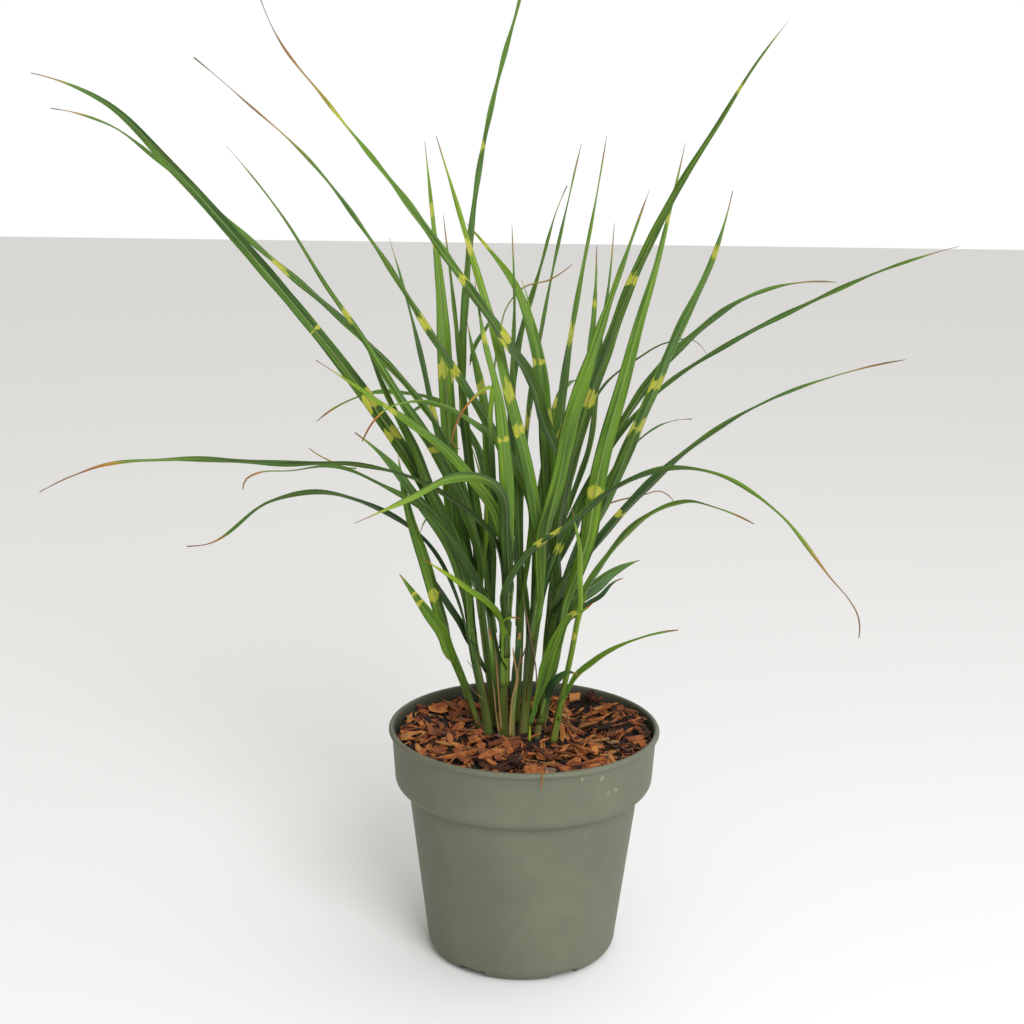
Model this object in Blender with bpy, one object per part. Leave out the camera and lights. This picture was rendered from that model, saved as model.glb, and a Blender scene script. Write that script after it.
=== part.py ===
"""Potted zebra grass: a clump of banded grass in a plain nursery pot under bark mulch.

Blender 4.5, metres, +Z up.  The origin is the middle of the pot's base, on the ground, and the
clump's front is towards -Y.  Every shoot, every leaf blade, the pot, the potting soil and the
bark mulch are objects of their own.  A leaf is a thin blade carried along a smooth midrib; its
collar stands on its shoot, and its midrib points are listed by hand in centimetres.
"""

import math

import bpy
import numpy as np

CM = 0.01
GAP = 0.0003               # air left between pieces that touch

# Nursery pot, 3 litres: rim 190 mm, height 165 mm
POT_HEIGHT = 0.165
RIM_RADIUS = 0.095         # outside of the rounded lip
LIP_HEIGHT = 0.0045
BAND_TOP_RADIUS = 0.0926   # the wide band under the lip
BAND_FOOT_RADIUS = 0.0906
BAND_FOOT_Z = 0.130
SHOULDER_ROUND = 0.009     # the band turns in to the body over this radius
BODY_TOP_RADIUS = 0.0809
BODY_FOOT_RADIUS = 0.0672
FOOT_ROUND = 0.010
WALL = 0.0014
RING_INNER_RADIUS = 0.051  # the foot ring's inner edge
PAD_RADIUS = 0.022         # flat pad in the middle of the base
CHANNEL_Z = 0.006          # the base is raised by this between pad and ring
CHANNEL_SLOPE = 0.0035
NOTCH_COUNT = 6            # drainage arches through the foot ring
NOTCH_FIRST = math.radians(28.0 - 90.0)
NOTCH_HALF = math.radians(8.5)
NOTCH_SIDE = math.radians(1.2)
NOTCH_HEIGHT = 0.0055
DRAIN_RADIUS = 0.0045
DRAIN_PITCH_RADIUS = 0.037

# Fill
SOIL_TOP_Z = 0.146
CROWN_TOP_Z = 0.1505       # the soil stands a little higher where the shoots come out
CROWN_CENTRE = (-0.0035, 0.0300)
CROWN_RADIUS = 0.041
MULCH_TOP_Z = 0.1522
MULCH_LUMP = 0.0016
SHOOT_FOOT_Z = CROWN_TOP_Z + GAP

# Blades
BLADE_THICKNESS = 0.0008
BLADE_STATIONS = 11
BLADE_FOLD = 0.16          # depth of the V across the blade, as a share of its half width
SHOOT_SIDES = 8
VIEW_FRONT = (0.0, -1.0, 0.24)
VIEW_UP = (0.0, 0.0, 1.0)

GREENS = ("5e7d34", "4f7238", "6d8f2e", "577a3c")

# Shoots: name, foot radius mm, top radius mm, centre line in cm from the crown upwards
SHOOTS = (
    ("far_left", 2.3, 2.4, ((-2.9, 2.4, 15.3), (-3.7, 2.2, 16.5), (-4.2, 1.6, 18.6), (-4.8, 1.0, 20.4))),
    ("left", 3.2, 2.8, ((-2.4, 1.8, 15.5), (-2.8, 1.6, 17.7), (-3.4, 1.0, 20.8), (-3.9, 0.4, 23.9))),
    ("left_back", 3.0, 2.6, ((-2.0, 3.4, 15.4), (-2.5, 3.5, 18.5), (-3.0, 3.7, 22.2), (-3.4, 3.9, 25.3))),
    ("mid_left", 3.4, 3.0, ((-1.4, 1.6, 15.5), (-1.4, 1.3, 18.9), (-1.4, 1.0, 22.3), (-1.2, 0.4, 26.5))),
    ("front_stub", 2.2, 2.0, ((-0.8, 0.1, 15.3), (-0.8, 0.0, 17.4), (-0.5, 0.3, 19.9))),
    ("centre", 4.4, 3.2, ((-0.1, 2.1, 15.4), (0.2, 2.0, 19.1), (0.6, 1.8, 22.5), (0.9, 1.6, 24.7))),
    ("centre_right", 3.4, 2.8, ((0.9, 1.2, 15.4), (1.5, 0.9, 18.0), (2.2, 0.5, 21.1), (2.8, 0.1, 25.6))),
    ("right", 2.8, 2.2, ((2.0, 0.8, 15.5), (2.6, 0.2, 18.5), (3.2, -0.6, 22.0), (3.7, -1.5, 25.8))),
    ("back_right", 4.0, 3.0, ((1.3, 4.3, 15.4), (1.6, 4.2, 19.5), (2.0, 4.1, 24.2), (2.3, 4.0, 26.3))),
    ("back_centre", 3.0, 2.5, ((-0.7, 4.6, 15.5), (-0.5, 4.8, 19.6), (-0.4, 5.2, 24.4))),
    ("back_left", 3.0, 2.5, ((-1.8, 5.4, 15.4), (-2.0, 5.9, 19.2), (-2.6, 6.8, 23.5))),
    ("far_back", 3.2, 2.6, ((0.2, 6.4, 15.7), (0.4, 7.2, 19.6), (0.8, 8.5, 23.5))),
)

# Leaves: shoot, collar height cm, side of the shoot in degrees (0 right, 90 back), full width
# mm, turn of the blade about its midrib at base and tip in degrees (0 faces the view given),
# and the midrib beyond the collar in cm
LEAVES = (
    ("far_left", 19.9, 200, 9.0, 15, 25, VIEW_FRONT,
     ((-5.2, 0.3, 21.4), (-5.8, -0.6, 23.2), (-6.7, -1.6, 24.9), (-7.9, -3.0, 27.2), (-8.5, -3.6, 28.3))),
    ("far_left", 19.0, 20, 10.5, 30, 15, VIEW_FRONT,
     ((-5.0, 1.4, 21.6), (-6.2, 0.2, 25.4), (-7.2, -0.4, 28.4), (-7.9, -1.0, 31.4), (-8.7, -2.0, 36.3))),
    ("left", 22.0, 195, 8.0, 55, 60, VIEW_FRONT,
     ((-4.7, 0.2, 25.3), (-7.1, 1.2, 29.4), (-10.9, 1.5, 31.9), (-14.5, 1.0, 32.9), (-17.5, 0.0, 32.3),
      (-21.8, -1.0, 29.4), (-23.1, -1.2, 29.4))),
    ("left", 23.6, 100, 10.0, 25, 20, VIEW_FRONT,
     ((-4.6, 0.9, 28.2), (-5.2, 0.6, 30.0), (-6.7, 0.0, 33.3), (-7.5, -0.6, 35.8), (-9.2, -1.9, 39.6),
      (-10.9, -3.4, 44.3))),
    ("left", 23.2, 240, 10.0, 35, 30, VIEW_FRONT,
     ((-4.2, -0.4, 26.7), (-5.0, -0.9, 29.3), (-6.2, -1.3, 31.4), (-7.4, -1.8, 33.1), (-9.2, -2.6, 35.7),
      (-11.4, -3.8, 37.9))),
    ("left", 22.4, 60, 13.5, 20, 0, VIEW_FRONT,
     ((-4.2, 1.5, 26.9), (-6.3, 1.2, 31.9), (-8.9, -0.2, 36.7), (-12.4, -3.2, 42.7), (-17.1, -7.0, 49.1),
      (-21.3, -11.0, 55.1), (-24.7, -14.5, 59.0), (-27.9, -17.0, 60.4))),
    ("left_back", 25.0, 240, 8.0, 40, 40, VIEW_FRONT,
     ((-3.9, 2.6, 30.8), (-5.5, 1.5, 36.1), (-7.8, -0.8, 40.2), (-11.1, -2.4, 44.3), (-17.4, -4.5, 50.0),
      (-22.2, -6.5, 54.7), (-25.9, -8.5, 57.6), (-28.7, -10.0, 58.4))),
    ("left_back", 25.1, 150, 7.5, 30, 30, VIEW_FRONT,
     ((-4.0, 3.4, 27.5), (-4.8, 3.0, 31.2), (-5.6, 2.6, 34.1), (-6.5, 2.8, 37.6), (-7.4, 3.2, 41.7),
      (-9.7, 5.0, 49.8))),
    ("left_back", 24.6, 330, 11.0, 20, 10, VIEW_FRONT,
     ((-3.1, 2.5, 27.7), (-3.7, 1.4, 30.2), (-6.0, -0.8, 35.8), (-8.6, -2.6, 40.2), (-10.6, -4.5, 44.3),
      (-12.9, -6.5, 47.7), (-15.2, -9.0, 52.2), (-18.0, -12.0, 56.4))),
    ("mid_left", 25.6, 170, 8.0, 50, 55, VIEW_FRONT,
     ((-2.2, -0.4, 29.8), (-5.3, -2.4, 33.3), (-7.3, -3.6, 34.7), (-11.0, -6.0, 36.2), (-15.4, -9.0, 37.0),
      (-21.5, -13.0, 38.0), (-25.4, -15.4, 37.9), (-28.6, -17.0, 36.7))),
    ("mid_left", 20.4, 190, 8.5, 50, 55, VIEW_FRONT,
     ((-2.3, 0.4, 23.2), (-3.9, -1.2, 28.1), (-5.1, -2.0, 30.2), (-6.8, -3.1, 32.5), (-9.2, -4.0, 34.3),
      (-13.1, -5.2, 35.9), (-18.0, -6.0, 35.5), (-18.5, -6.2, 34.5))),
    ("mid_left", 22.6, 230, 7.0, 30, 40, VIEW_FRONT,
     ((-2.0, -0.4, 24.8), (-2.7, -1.4, 25.9), (-3.8, -2.6, 27.0), (-4.8, -3.6, 28.0), (-7.1, -5.2, 29.9))),
    ("mid_left", 23.2, 280, 9.5, 40, 50, VIEW_FRONT,
     ((-1.5, -0.8, 26.1), (-0.1, -1.9, 29.1), (3.1, -3.4, 32.1), (5.8, -4.8, 34.8), (9.2, -6.6, 36.4),
      (12.1, -8.2, 36.3), (15.5, -10.0, 34.5), (18.9, -12.0, 30.5), (20.4, -13.2, 27.2))),
    ("mid_left", 26.2, 215, 9.5, 25, 30, VIEW_FRONT,
     ((-1.6, -0.6, 30.0), (-2.1, -1.0, 32.0), (-3.8, -1.6, 34.5), (-5.7, -2.2, 36.7), (-7.7, -3.0, 38.4),
      (-9.9, -4.0, 40.1), (-13.7, -5.5, 42.9))),
    ("mid_left", 25.9, 270, 10.0, 30, 45, VIEW_FRONT,
     ((-1.4, -1.2, 30.9), (-1.5, -1.9, 32.7), (-1.9, -2.8, 34.0), (-3.1, -4.2, 35.1), (-5.1, -6.0, 35.4),
      (-7.6, -8.0, 34.5), (-10.9, -10.0, 33.3))),
    ("mid_left", 26.1, 330, 10.5, 10, 20, VIEW_FRONT,
     ((-1.2, -0.3, 31.0), (-1.6, -1.5, 36.4), (-2.1, -1.8, 40.4), (-3.0, -1.6, 43.8), (-3.7, -0.5, 47.5))),
    ("mid_left", 26.0, 120, 7.0, 35, 20, VIEW_FRONT,
     ((-2.1, 0.5, 31.0), (-2.5, -0.5, 35.2), (-2.6, -2.2, 38.7), (-2.7, -3.7, 41.0), (-3.7, -4.2, 40.3),
      (-4.9, -4.6, 38.2), (-5.0, -4.7, 37.5), (-4.5, -4.8, 37.1))),
    ("back_left", 22.6, 190, 11.5, 10, 10, VIEW_FRONT,
     ((-4.0, 6.0, 25.3), (-4.8, 5.2, 27.6), (-5.4, 4.8, 31.8), (-5.5, 4.6, 35.8), (-5.8, 5.0, 40.0),
      (-6.3, 6.2, 45.5), (-6.8, 8.0, 50.2), (-7.6, 11.0, 56.2))),
    ("back_left", 23.2, 60, 10.0, 40, 40, VIEW_FRONT,
     ((-3.5, 7.0, 29.5), (-4.4, 7.2, 34.6), (-4.8, 7.2, 39.8), (-4.6, 7.8, 45.3), (-3.4, 10.0, 55.9),
      (-2.3, 12.0, 61.6), (-1.0, 13.8, 66.1), (0.0, 15.4, 71.0))),
    ("back_left", 23.0, 300, 11.0, 25, 20, VIEW_FRONT,
     ((-2.5, 5.4, 29.2), (-2.6, 5.0, 33.6), (-3.1, 4.6, 38.7), (-4.0, 5.0, 42.5), (-4.4, 5.6, 44.3))),
    ("back_left", 22.8, 125, 7.5, 50, 50, VIEW_FRONT,
     ((-2.9, 9.0, 29.8), (-4.6, 10.0, 35.9), (-6.4, 10.4, 37.5), (-9.0, 10.6, 38.1), (-11.4, 10.6, 38.1),
      (-13.4, 10.4, 37.4), (-15.5, 10.2, 36.0))),
    ("back_centre", 23.6, 340, 9.5, 35, 35, VIEW_FRONT,
     ((0.2, 3.0, 32.3), (-0.9, 2.0, 34.7), (-1.9, 0.8, 36.5), (-3.3, -1.0, 37.9), (-5.6, -3.5, 39.7),
      (-7.7, -5.5, 40.3), (-9.1, -6.5, 40.0), (-10.6, -7.2, 38.0))),
    ("back_centre", 24.0, 220, 9.0, 35, 35, VIEW_FRONT,
     ((-0.8, 4.6, 30.1), (-1.6, 3.4, 35.1), (-3.1, 1.8, 38.2), (-4.6, 0.2, 40.8), (-6.6, -2.0, 44.1),
      (-10.1, -5.0, 50.3), (-13.7, -8.0, 55.6), (-17.4, -11.0, 59.3), (-19.6, -13.0, 61.4))),
    ("back_centre", 24.1, 130, 7.5, 40, 40, VIEW_FRONT,
     ((-0.9, 7.0, 31.0), (-1.2, 9.0, 38.0), (-0.8, 9.4, 41.8), (0.7, 10.2, 47.3), (1.9, 11.0, 51.5),
      (2.6, 11.4, 53.2))),
    ("back_centre", 23.8, 40, 6.5, 40, 40, VIEW_FRONT,
     ((-0.3, 6.0, 31.3), (-0.1, 6.0, 35.6), (0.6, 9.4, 40.9), (1.6, 13.0, 46.3), (2.8, 16.5, 51.6),
      (3.8, 19.0, 55.9))),
    ("centre", 24.3, 240, 10.0, 20, 20, VIEW_FRONT,
     ((0.9, 1.3, 29.2), (0.5, 1.0, 32.0), (-0.3, 0.8, 36.0), (-1.4, 1.2, 40.0), (-2.2, 1.6, 43.4),
      (-3.6, 2.4, 48.4), (-5.2, 3.4, 52.6), (-6.5, 4.6, 56.7))),
    ("centre", 24.5, 330, 11.5, 25, 30, VIEW_FRONT,
     ((1.3, 0.6, 30.2), (1.8, 0.0, 33.9), (2.7, -0.8, 38.7), (3.8, -1.3, 41.7), (4.9, -2.0, 45.6),
      (6.0, -2.6, 49.4), (7.4, -3.2, 53.7))),
    ("centre", 23.6, 35, 9.0, 30, 40, VIEW_FRONT,
     ((1.6, 2.0, 26.7), (2.2, 2.0, 28.5), (4.0, 1.3, 33.1), (6.3, 1.0, 37.4), (8.7, 0.5, 40.2),
      (13.2, -1.5, 43.7), (17.6, -4.0, 46.7), (22.4, -7.0, 49.4), (25.9, -9.0, 50.9))),
    ("centre_right", 17.6, 245, 12.0, 5, 25, VIEW_FRONT,
     ((1.1, -0.6, 20.5), (1.7, -1.5, 23.1), (2.5, -2.4, 24.7), (3.4, -3.2, 25.6), (4.5, -4.0, 26.6))),
    ("centre_right", 18.2, 335, 8.0, 35, 45, VIEW_FRONT,
     ((2.1, -0.5, 19.5), (2.6, -1.2, 20.4), (3.0, -1.8, 20.9), (3.7, -2.6, 21.0))),
    ("centre_right", 25.0, 250, 13.5, 0, 0, VIEW_FRONT,
     ((3.5, -0.2, 27.8), (4.1, -0.4, 29.9), (4.5, -0.6, 32.9), (5.1, -1.0, 36.5), (6.2, -0.8, 41.1),
      (7.3, 0.0, 45.0), (8.3, 1.2, 48.2), (9.0, 2.4, 51.2), (10.3, 4.2, 56.5))),
    ("right", 18.2, 350, 7.5, 30, 50, VIEW_FRONT,
     ((3.6, -0.4, 20.1), (4.5, -1.0, 21.5), (5.8, -2.0, 22.8), (7.7, -3.4, 24.1), (10.1, -5.0, 25.1))),
    ("right", 25.4, 100, 5.0, 40, 30, VIEW_FRONT,
     ((3.7, -1.7, 27.9), (3.6, -2.1, 29.9), (3.2, -2.5, 31.6), (2.9, -2.8, 32.8))),
    ("back_right", 25.8, 300, 13.0, 20, 15, VIEW_FRONT,
     ((2.1, 3.5, 28.6), (2.8, 2.8, 33.7), (4.0, 1.6, 39.0), (5.2, 0.6, 43.1), (6.6, -0.8, 47.7),
      (7.8, -2.0, 50.8), (9.3, -3.6, 54.2), (11.3, -5.5, 57.8), (13.2, -7.5, 61.7), (14.8, -9.0, 64.1))),
    ("back_right", 25.2, 340, 11.5, 30, 25, VIEW_FRONT,
     ((4.4, 2.4, 28.9), (5.0, 1.4, 31.2), (6.3, 0.2, 34.8), (7.3, -1.4, 38.3), (8.2, -2.6, 41.2),
      (9.5, -4.0, 44.8), (11.4, -6.0, 49.9), (12.2, -7.5, 54.0))),
    ("back_right", 23.4, 320, 10.0, 45, 50, VIEW_FRONT,
     ((3.3, 2.6, 25.7), (4.2, 1.4, 28.1), (5.4, 0.2, 30.7), (7.6, -1.2, 33.7), (9.2, -2.2, 35.6),
      (14.1, -4.6, 39.8), (18.4, -7.0, 42.3), (22.9, -10.0, 44.1))),
    ("back_right", 26.0, 170, 10.0, 40, 40, VIEW_FRONT,
     ((2.5, 4.8, 29.4), (2.1, 4.4, 34.9), (1.2, 3.4, 37.6), (0.3, 2.2, 40.2), (-1.8, -0.2, 44.0),
      (-4.4, -2.4, 47.8), (-8.3, -6.0, 53.5), (-13.0, -9.0, 59.6), (-15.0, -10.5, 62.3), (-16.1, -11.5, 65.3))),
    ("back_right", 20.8, 300, 9.0, 45, 55, VIEW_FRONT,
     ((3.2, 1.8, 23.7), (4.0, 0.8, 25.8), (5.4, -0.8, 28.8), (7.9, -3.0, 32.3), (9.3, -4.2, 33.5),
      (10.5, -5.2, 33.9), (12.1, -6.4, 33.8), (14.4, -7.8, 33.1))),
    ("back_right", 21.8, 30, 12.0, 20, 30, VIEW_FRONT,
     ((3.7, 4.6, 24.6), (4.8, 5.0, 25.2), (6.2, 5.6, 26.1), (8.3, 6.4, 26.8))),
    ("far_back", 22.8, 200, 12.0, 20, 15, VIEW_FRONT,
     ((1.7, 7.2, 28.0), (1.5, 6.2, 32.5), (1.3, 5.6, 37.5), (0.6, 5.8, 41.9), (-1.0, 7.0, 46.4),
      (-3.1, 9.0, 49.0), (-4.5, 10.5, 50.6))),
    ("far_back", 23.2, 330, 10.0, 25, 25, VIEW_FRONT,
     ((2.0, 8.4, 28.5), (2.1, 8.4, 32.2), (2.3, 8.8, 35.7), (2.7, 9.8, 40.4), (3.8, 12.0, 46.7),
      (4.5, 13.6, 50.3), (5.6, 16.5, 56.6))),
    ("far_back", 22.0, 310, 10.0, 40, 40, VIEW_FRONT,
     ((3.2, 6.6, 28.2), (4.2, 6.0, 31.3), (5.2, 5.6, 34.0), (6.9, 5.2, 38.0), (8.8, 5.0, 40.8),
      (11.2, 5.0, 43.4), (14.7, 5.0, 45.9), (17.3, 5.0, 46.9), (21.2, 5.0, 47.2))),
    ("far_back", 21.0, 90, 11.0, 10, 20, VIEW_UP,
     ((1.3, 12.0, 32.0), (2.4, 16.5, 38.0), (4.0, 22.0, 39.5), (5.6, 27.0, 36.0))),
    ("far_back", 20.2, 150, 10.0, 15, 10, VIEW_UP,
     ((-1.6, 11.5, 28.0), (-4.4, 16.0, 34.0), (-7.4, 21.0, 35.5), (-10.6, 25.5, 32.5))),
    ("back_right", 19.6, 60, 10.5, 10, 25, VIEW_UP,
     ((4.2, 8.0, 28.0), (8.0, 12.5, 34.0), (12.0, 17.0, 35.5), (16.6, 21.0, 31.5))),
)


def clear_scene():
    """Start from an empty scene."""
    for item in list(bpy.data.objects):
        bpy.data.objects.remove(item, do_unlink=True)


def linear(hex_colour):
    """Turn an sRGB hex colour into the linear values a shader takes."""
    parts = [int(hex_colour[i:i + 2], 16) / 255.0 for i in (0, 2, 4)]
    return [p / 12.92 if p <= 0.04045 else ((p + 0.055) / 1.055) ** 2.4 for p in parts]


def add_object(name, vertices, faces, hex_colour, roughness, smooth=True):
    """Make one named mesh object with its own Principled material."""
    mesh = bpy.data.meshes.new(name)
    mesh.from_pydata([tuple(map(float, v)) for v in vertices], [], faces)
    mesh.validate()
    if smooth:
        mesh.shade_smooth()
    material = bpy.data.materials.new(name)
    material.use_nodes = True
    shader = material.node_tree.nodes["Principled BSDF"]
    shader.inputs["Base Color"].default_value = (*linear(hex_colour), 1.0)
    shader.inputs["Roughness"].default_value = roughness
    shader.inputs["Metallic"].default_value = 0.0
    mesh.materials.append(material)
    item = bpy.data.objects.new(name, mesh)
    bpy.context.scene.collection.objects.link(item)
    return item


def arc(centre_r, centre_z, radius, start, end, count):
    """Points (r, z) along an arc, angles in degrees from the +r direction."""
    turn = np.radians(np.linspace(start, end, count))
    return [(centre_r + radius * math.cos(a), centre_z + radius * math.sin(a)) for a in turn]


def column_angles():
    """Angles of the turned pieces' columns: closer together at the sides of each notch."""
    step = 2.0 * math.pi / NOTCH_COUNT
    between = step - 2.0 * (NOTCH_HALF + NOTCH_SIDE)
    edges = (-NOTCH_HALF - NOTCH_SIDE, -NOTCH_HALF, 0.0, NOTCH_HALF, NOTCH_HALF + NOTCH_SIDE)
    plain = [NOTCH_HALF + NOTCH_SIDE + between * part for part in (0.25, 0.5, 0.75)]
    return [NOTCH_FIRST + n * step + a for n in range(NOTCH_COUNT) for a in (*edges, *plain)]


def in_notch(angle):
    """Whether a column lies in a drainage notch."""
    step = 2.0 * math.pi / NOTCH_COUNT
    offset = (angle - NOTCH_FIRST + step / 2.0) % step - step / 2.0
    return abs(offset) <= NOTCH_HALF + 1e-6


def ring_solid(rings, angles, notch_z, rising):
    """Vertices and faces of a closed solid built from rings (centre x, centre y, radius, z).

    The first and the last ring have no radius and become poles.  A vertex lower than its ring's
    notch height is lifted to it in the notch columns.  The lifted quads aren't flat, so they are
    split by the diagonal that rising picks: two pieces that face each other across a gap, one
    listed downwards and one upwards, are split alike when one is rising and the other isn't.
    """
    vertices = []
    starts = []
    for index, (cx, cy, radius, z) in enumerate(rings):
        starts.append(len(vertices))
        if radius == 0.0:
            vertices.append((cx, cy, z))
            continue
        for angle in angles:
            lift = notch_z[index] if in_notch(angle) and radius > RING_INNER_RADIUS * 0.9 else z
            vertices.append((cx + radius * math.cos(angle), cy + radius * math.sin(angle), max(z, lift)))
    count = len(angles)
    faces = []
    for low, high, ring_low, ring_high in zip(starts, starts[1:], rings, rings[1:]):
        for i in range(count):
            j = (i + 1) % count
            if ring_low[2] == 0.0:
                faces.append((low, high + j, high + i))
            elif ring_high[2] == 0.0:
                faces.append((low + i, low + j, high))
            elif rising:
                faces.append((low + i, low + j, high + i))
                faces.append((low + j, high + j, high + i))
            else:
                faces.append((low + i, low + j, high + j))
                faces.append((low + i, high + j, high + i))
    return vertices, faces


def inner_wall(offset):
    """The pot's inside from the lip down to the middle of the floor, moved in by offset."""
    wall = WALL + offset
    floor = WALL + offset
    channel = CHANNEL_Z + floor
    shoulder = arc(BAND_FOOT_RADIUS - SHOULDER_ROUND, BAND_FOOT_Z, SHOULDER_ROUND - wall, 0, -90, 4)
    foot = arc(BODY_FOOT_RADIUS - FOOT_ROUND, FOOT_ROUND, FOOT_ROUND - wall, 0, -90, 4)
    body_top = (BODY_TOP_RADIUS - wall, shoulder[-1][1] - WALL)
    ring = [(RING_INNER_RADIUS + WALL + offset / 2.0, floor), (RING_INNER_RADIUS - CHANNEL_SLOPE, channel)]
    pad = [(PAD_RADIUS + CHANNEL_SLOPE, channel), (PAD_RADIUS - WALL, floor), (0.0, floor)]
    return shoulder + [body_top] + foot + ring + pad


def inner_radius(z):
    """Inside radius of the band at height z."""
    share = (z - BAND_FOOT_Z) / (POT_HEIGHT - LIP_HEIGHT - BAND_FOOT_Z)
    return BAND_FOOT_RADIUS + share * (BAND_TOP_RADIUS - BAND_FOOT_RADIUS) - WALL


def make_pot(angles):
    """The moulded pot: pad, raised channel, notched foot ring, body, shoulder, band and lip."""
    lip_z = POT_HEIGHT - LIP_HEIGHT
    outer = [(0.0, 0.0), (PAD_RADIUS, 0.0), (PAD_RADIUS + CHANNEL_SLOPE, CHANNEL_Z),
             (RING_INNER_RADIUS - CHANNEL_SLOPE, CHANNEL_Z), (RING_INNER_RADIUS, 0.0)]
    outer += arc(BODY_FOOT_RADIUS - FOOT_ROUND, FOOT_ROUND, FOOT_ROUND, -90, 0, 4)
    outer += [(BODY_TOP_RADIUS, BAND_FOOT_Z - SHOULDER_ROUND - WALL)]
    outer += arc(BAND_FOOT_RADIUS - SHOULDER_ROUND, BAND_FOOT_Z, SHOULDER_ROUND, -90, 0, 4)
    outer += [(BAND_TOP_RADIUS, lip_z)]
    outer += arc(RIM_RADIUS - LIP_HEIGHT / 2.0, lip_z + LIP_HEIGHT / 2.0, LIP_HEIGHT / 2.0, -60, 90, 4)
    outer += [(inner_radius(lip_z), POT_HEIGHT - 0.001)]
    inner = inner_wall(0.0)
    rings = [(0.0, 0.0, r, z) for r, z in outer + inner]
    notch = [NOTCH_HEIGHT] * len(outer) + [NOTCH_HEIGHT + WALL] * len(inner)
    vertices, faces = ring_solid(rings, angles, notch, False)
    pot = add_object("nursery_pot", vertices, faces, "6f725c", 0.55, smooth=False)
    cut_drain_holes(pot)
    pot.data.set_sharp_from_angle(angle=math.radians(35))
    return pot


def cut_drain_holes(pot):
    """Six round drain holes through the raised channel of the base."""
    sides = 10
    vertices = []
    faces = []
    for n in range(NOTCH_COUNT):
        middle = NOTCH_FIRST + (n + 0.5) * 2.0 * math.pi / NOTCH_COUNT
        start = len(vertices)
        for z in (CHANNEL_Z - 0.003, CHANNEL_Z + 0.004):
            for i in range(sides):
                turn = 2.0 * math.pi * i / sides
                vertices.append((DRAIN_PITCH_RADIUS * math.cos(middle) + DRAIN_RADIUS * math.cos(turn),
                                 DRAIN_PITCH_RADIUS * math.sin(middle) + DRAIN_RADIUS * math.sin(turn), z))
        low = list(range(start, start + sides))
        high = list(range(start + sides, start + 2 * sides))
        faces.append(low[::-1])
        faces.append(high)
        faces += [(low[i], low[(i + 1) % sides], high[(i + 1) % sides], high[i]) for i in range(sides)]
    cutter = add_object("drain_cutter", vertices, faces, "6f725c", 0.55, smooth=False)
    cutter.hide_render = True
    cutter.display_type = "WIRE"
    cut = pot.modifiers.new("drain_holes", "BOOLEAN")
    cut.operation = "DIFFERENCE"
    cut.solver = "EXACT"
    cut.object = cutter


def make_soil(angles):
    """The root ball of potting soil, filling the pot, with a low mound at the crown."""
    cx, cy = CROWN_CENTRE
    inside = inner_wall(GAP)[::-1]
    top_r = inner_radius(SOIL_TOP_Z) - GAP
    rings = [(0.0, 0.0, r, z) for r, z in inside]
    notch = [NOTCH_HEIGHT + WALL + GAP] * len(rings)
    rings += [(0.0, 0.0, top_r, SOIL_TOP_Z), (cx, cy, CROWN_RADIUS - GAP, SOIL_TOP_Z),
              (cx, cy, CROWN_RADIUS - 0.003, CROWN_TOP_Z), (cx, cy, 0.0, CROWN_TOP_Z)]
    notch += [0.0] * 4
    vertices, faces = ring_solid(rings, angles, notch, True)
    return add_object("potting_soil", vertices, faces, "2e231b", 0.95)


def lump(x, y):
    """Uneven height of the mulch: three crossed waves, from -1 to 1."""
    return (math.sin(190 * x + 60 * y) + math.sin(230 * y - 90 * x + 1.3) + math.sin(140 * (x + y) + 2.1)) / 3.0


def make_mulch(angles):
    """The layer of bark chips on the soil, round the crown, as one lumpy ring."""
    cx, cy = CROWN_CENTRE
    foot_z = SOIL_TOP_Z + GAP
    wall_foot = inner_radius(foot_z) - GAP
    wall_top = inner_radius(MULCH_TOP_Z) - GAP
    hole = CROWN_RADIUS + GAP
    shares = (1.0, 0.75, 0.5, 0.25, 0.0)
    vertices = []
    for angle in angles:
        c, s = math.cos(angle), math.sin(angle)
        hole_x, hole_y = cx + hole * c, cy + hole * s
        vertices.append((wall_foot * c, wall_foot * s, foot_z))
        for share in shares:
            x = hole_x + share * (wall_top * c - hole_x)
            y = hole_y + share * (wall_top * s - hole_y)
            vertices.append((x, y, MULCH_TOP_Z + MULCH_LUMP * lump(x, y)))
        vertices.append((hole_x, hole_y, foot_z))
    row = len(shares) + 2
    faces = []
    for i in range(len(angles)):
        a = i * row
        b = ((i + 1) % len(angles)) * row
        faces += [(a + k, b + k, b + (k + 1) % row, a + (k + 1) % row) for k in range(row)]
    return add_object("bark_mulch", vertices, faces, "7a4527", 0.9, smooth=False)


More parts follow.
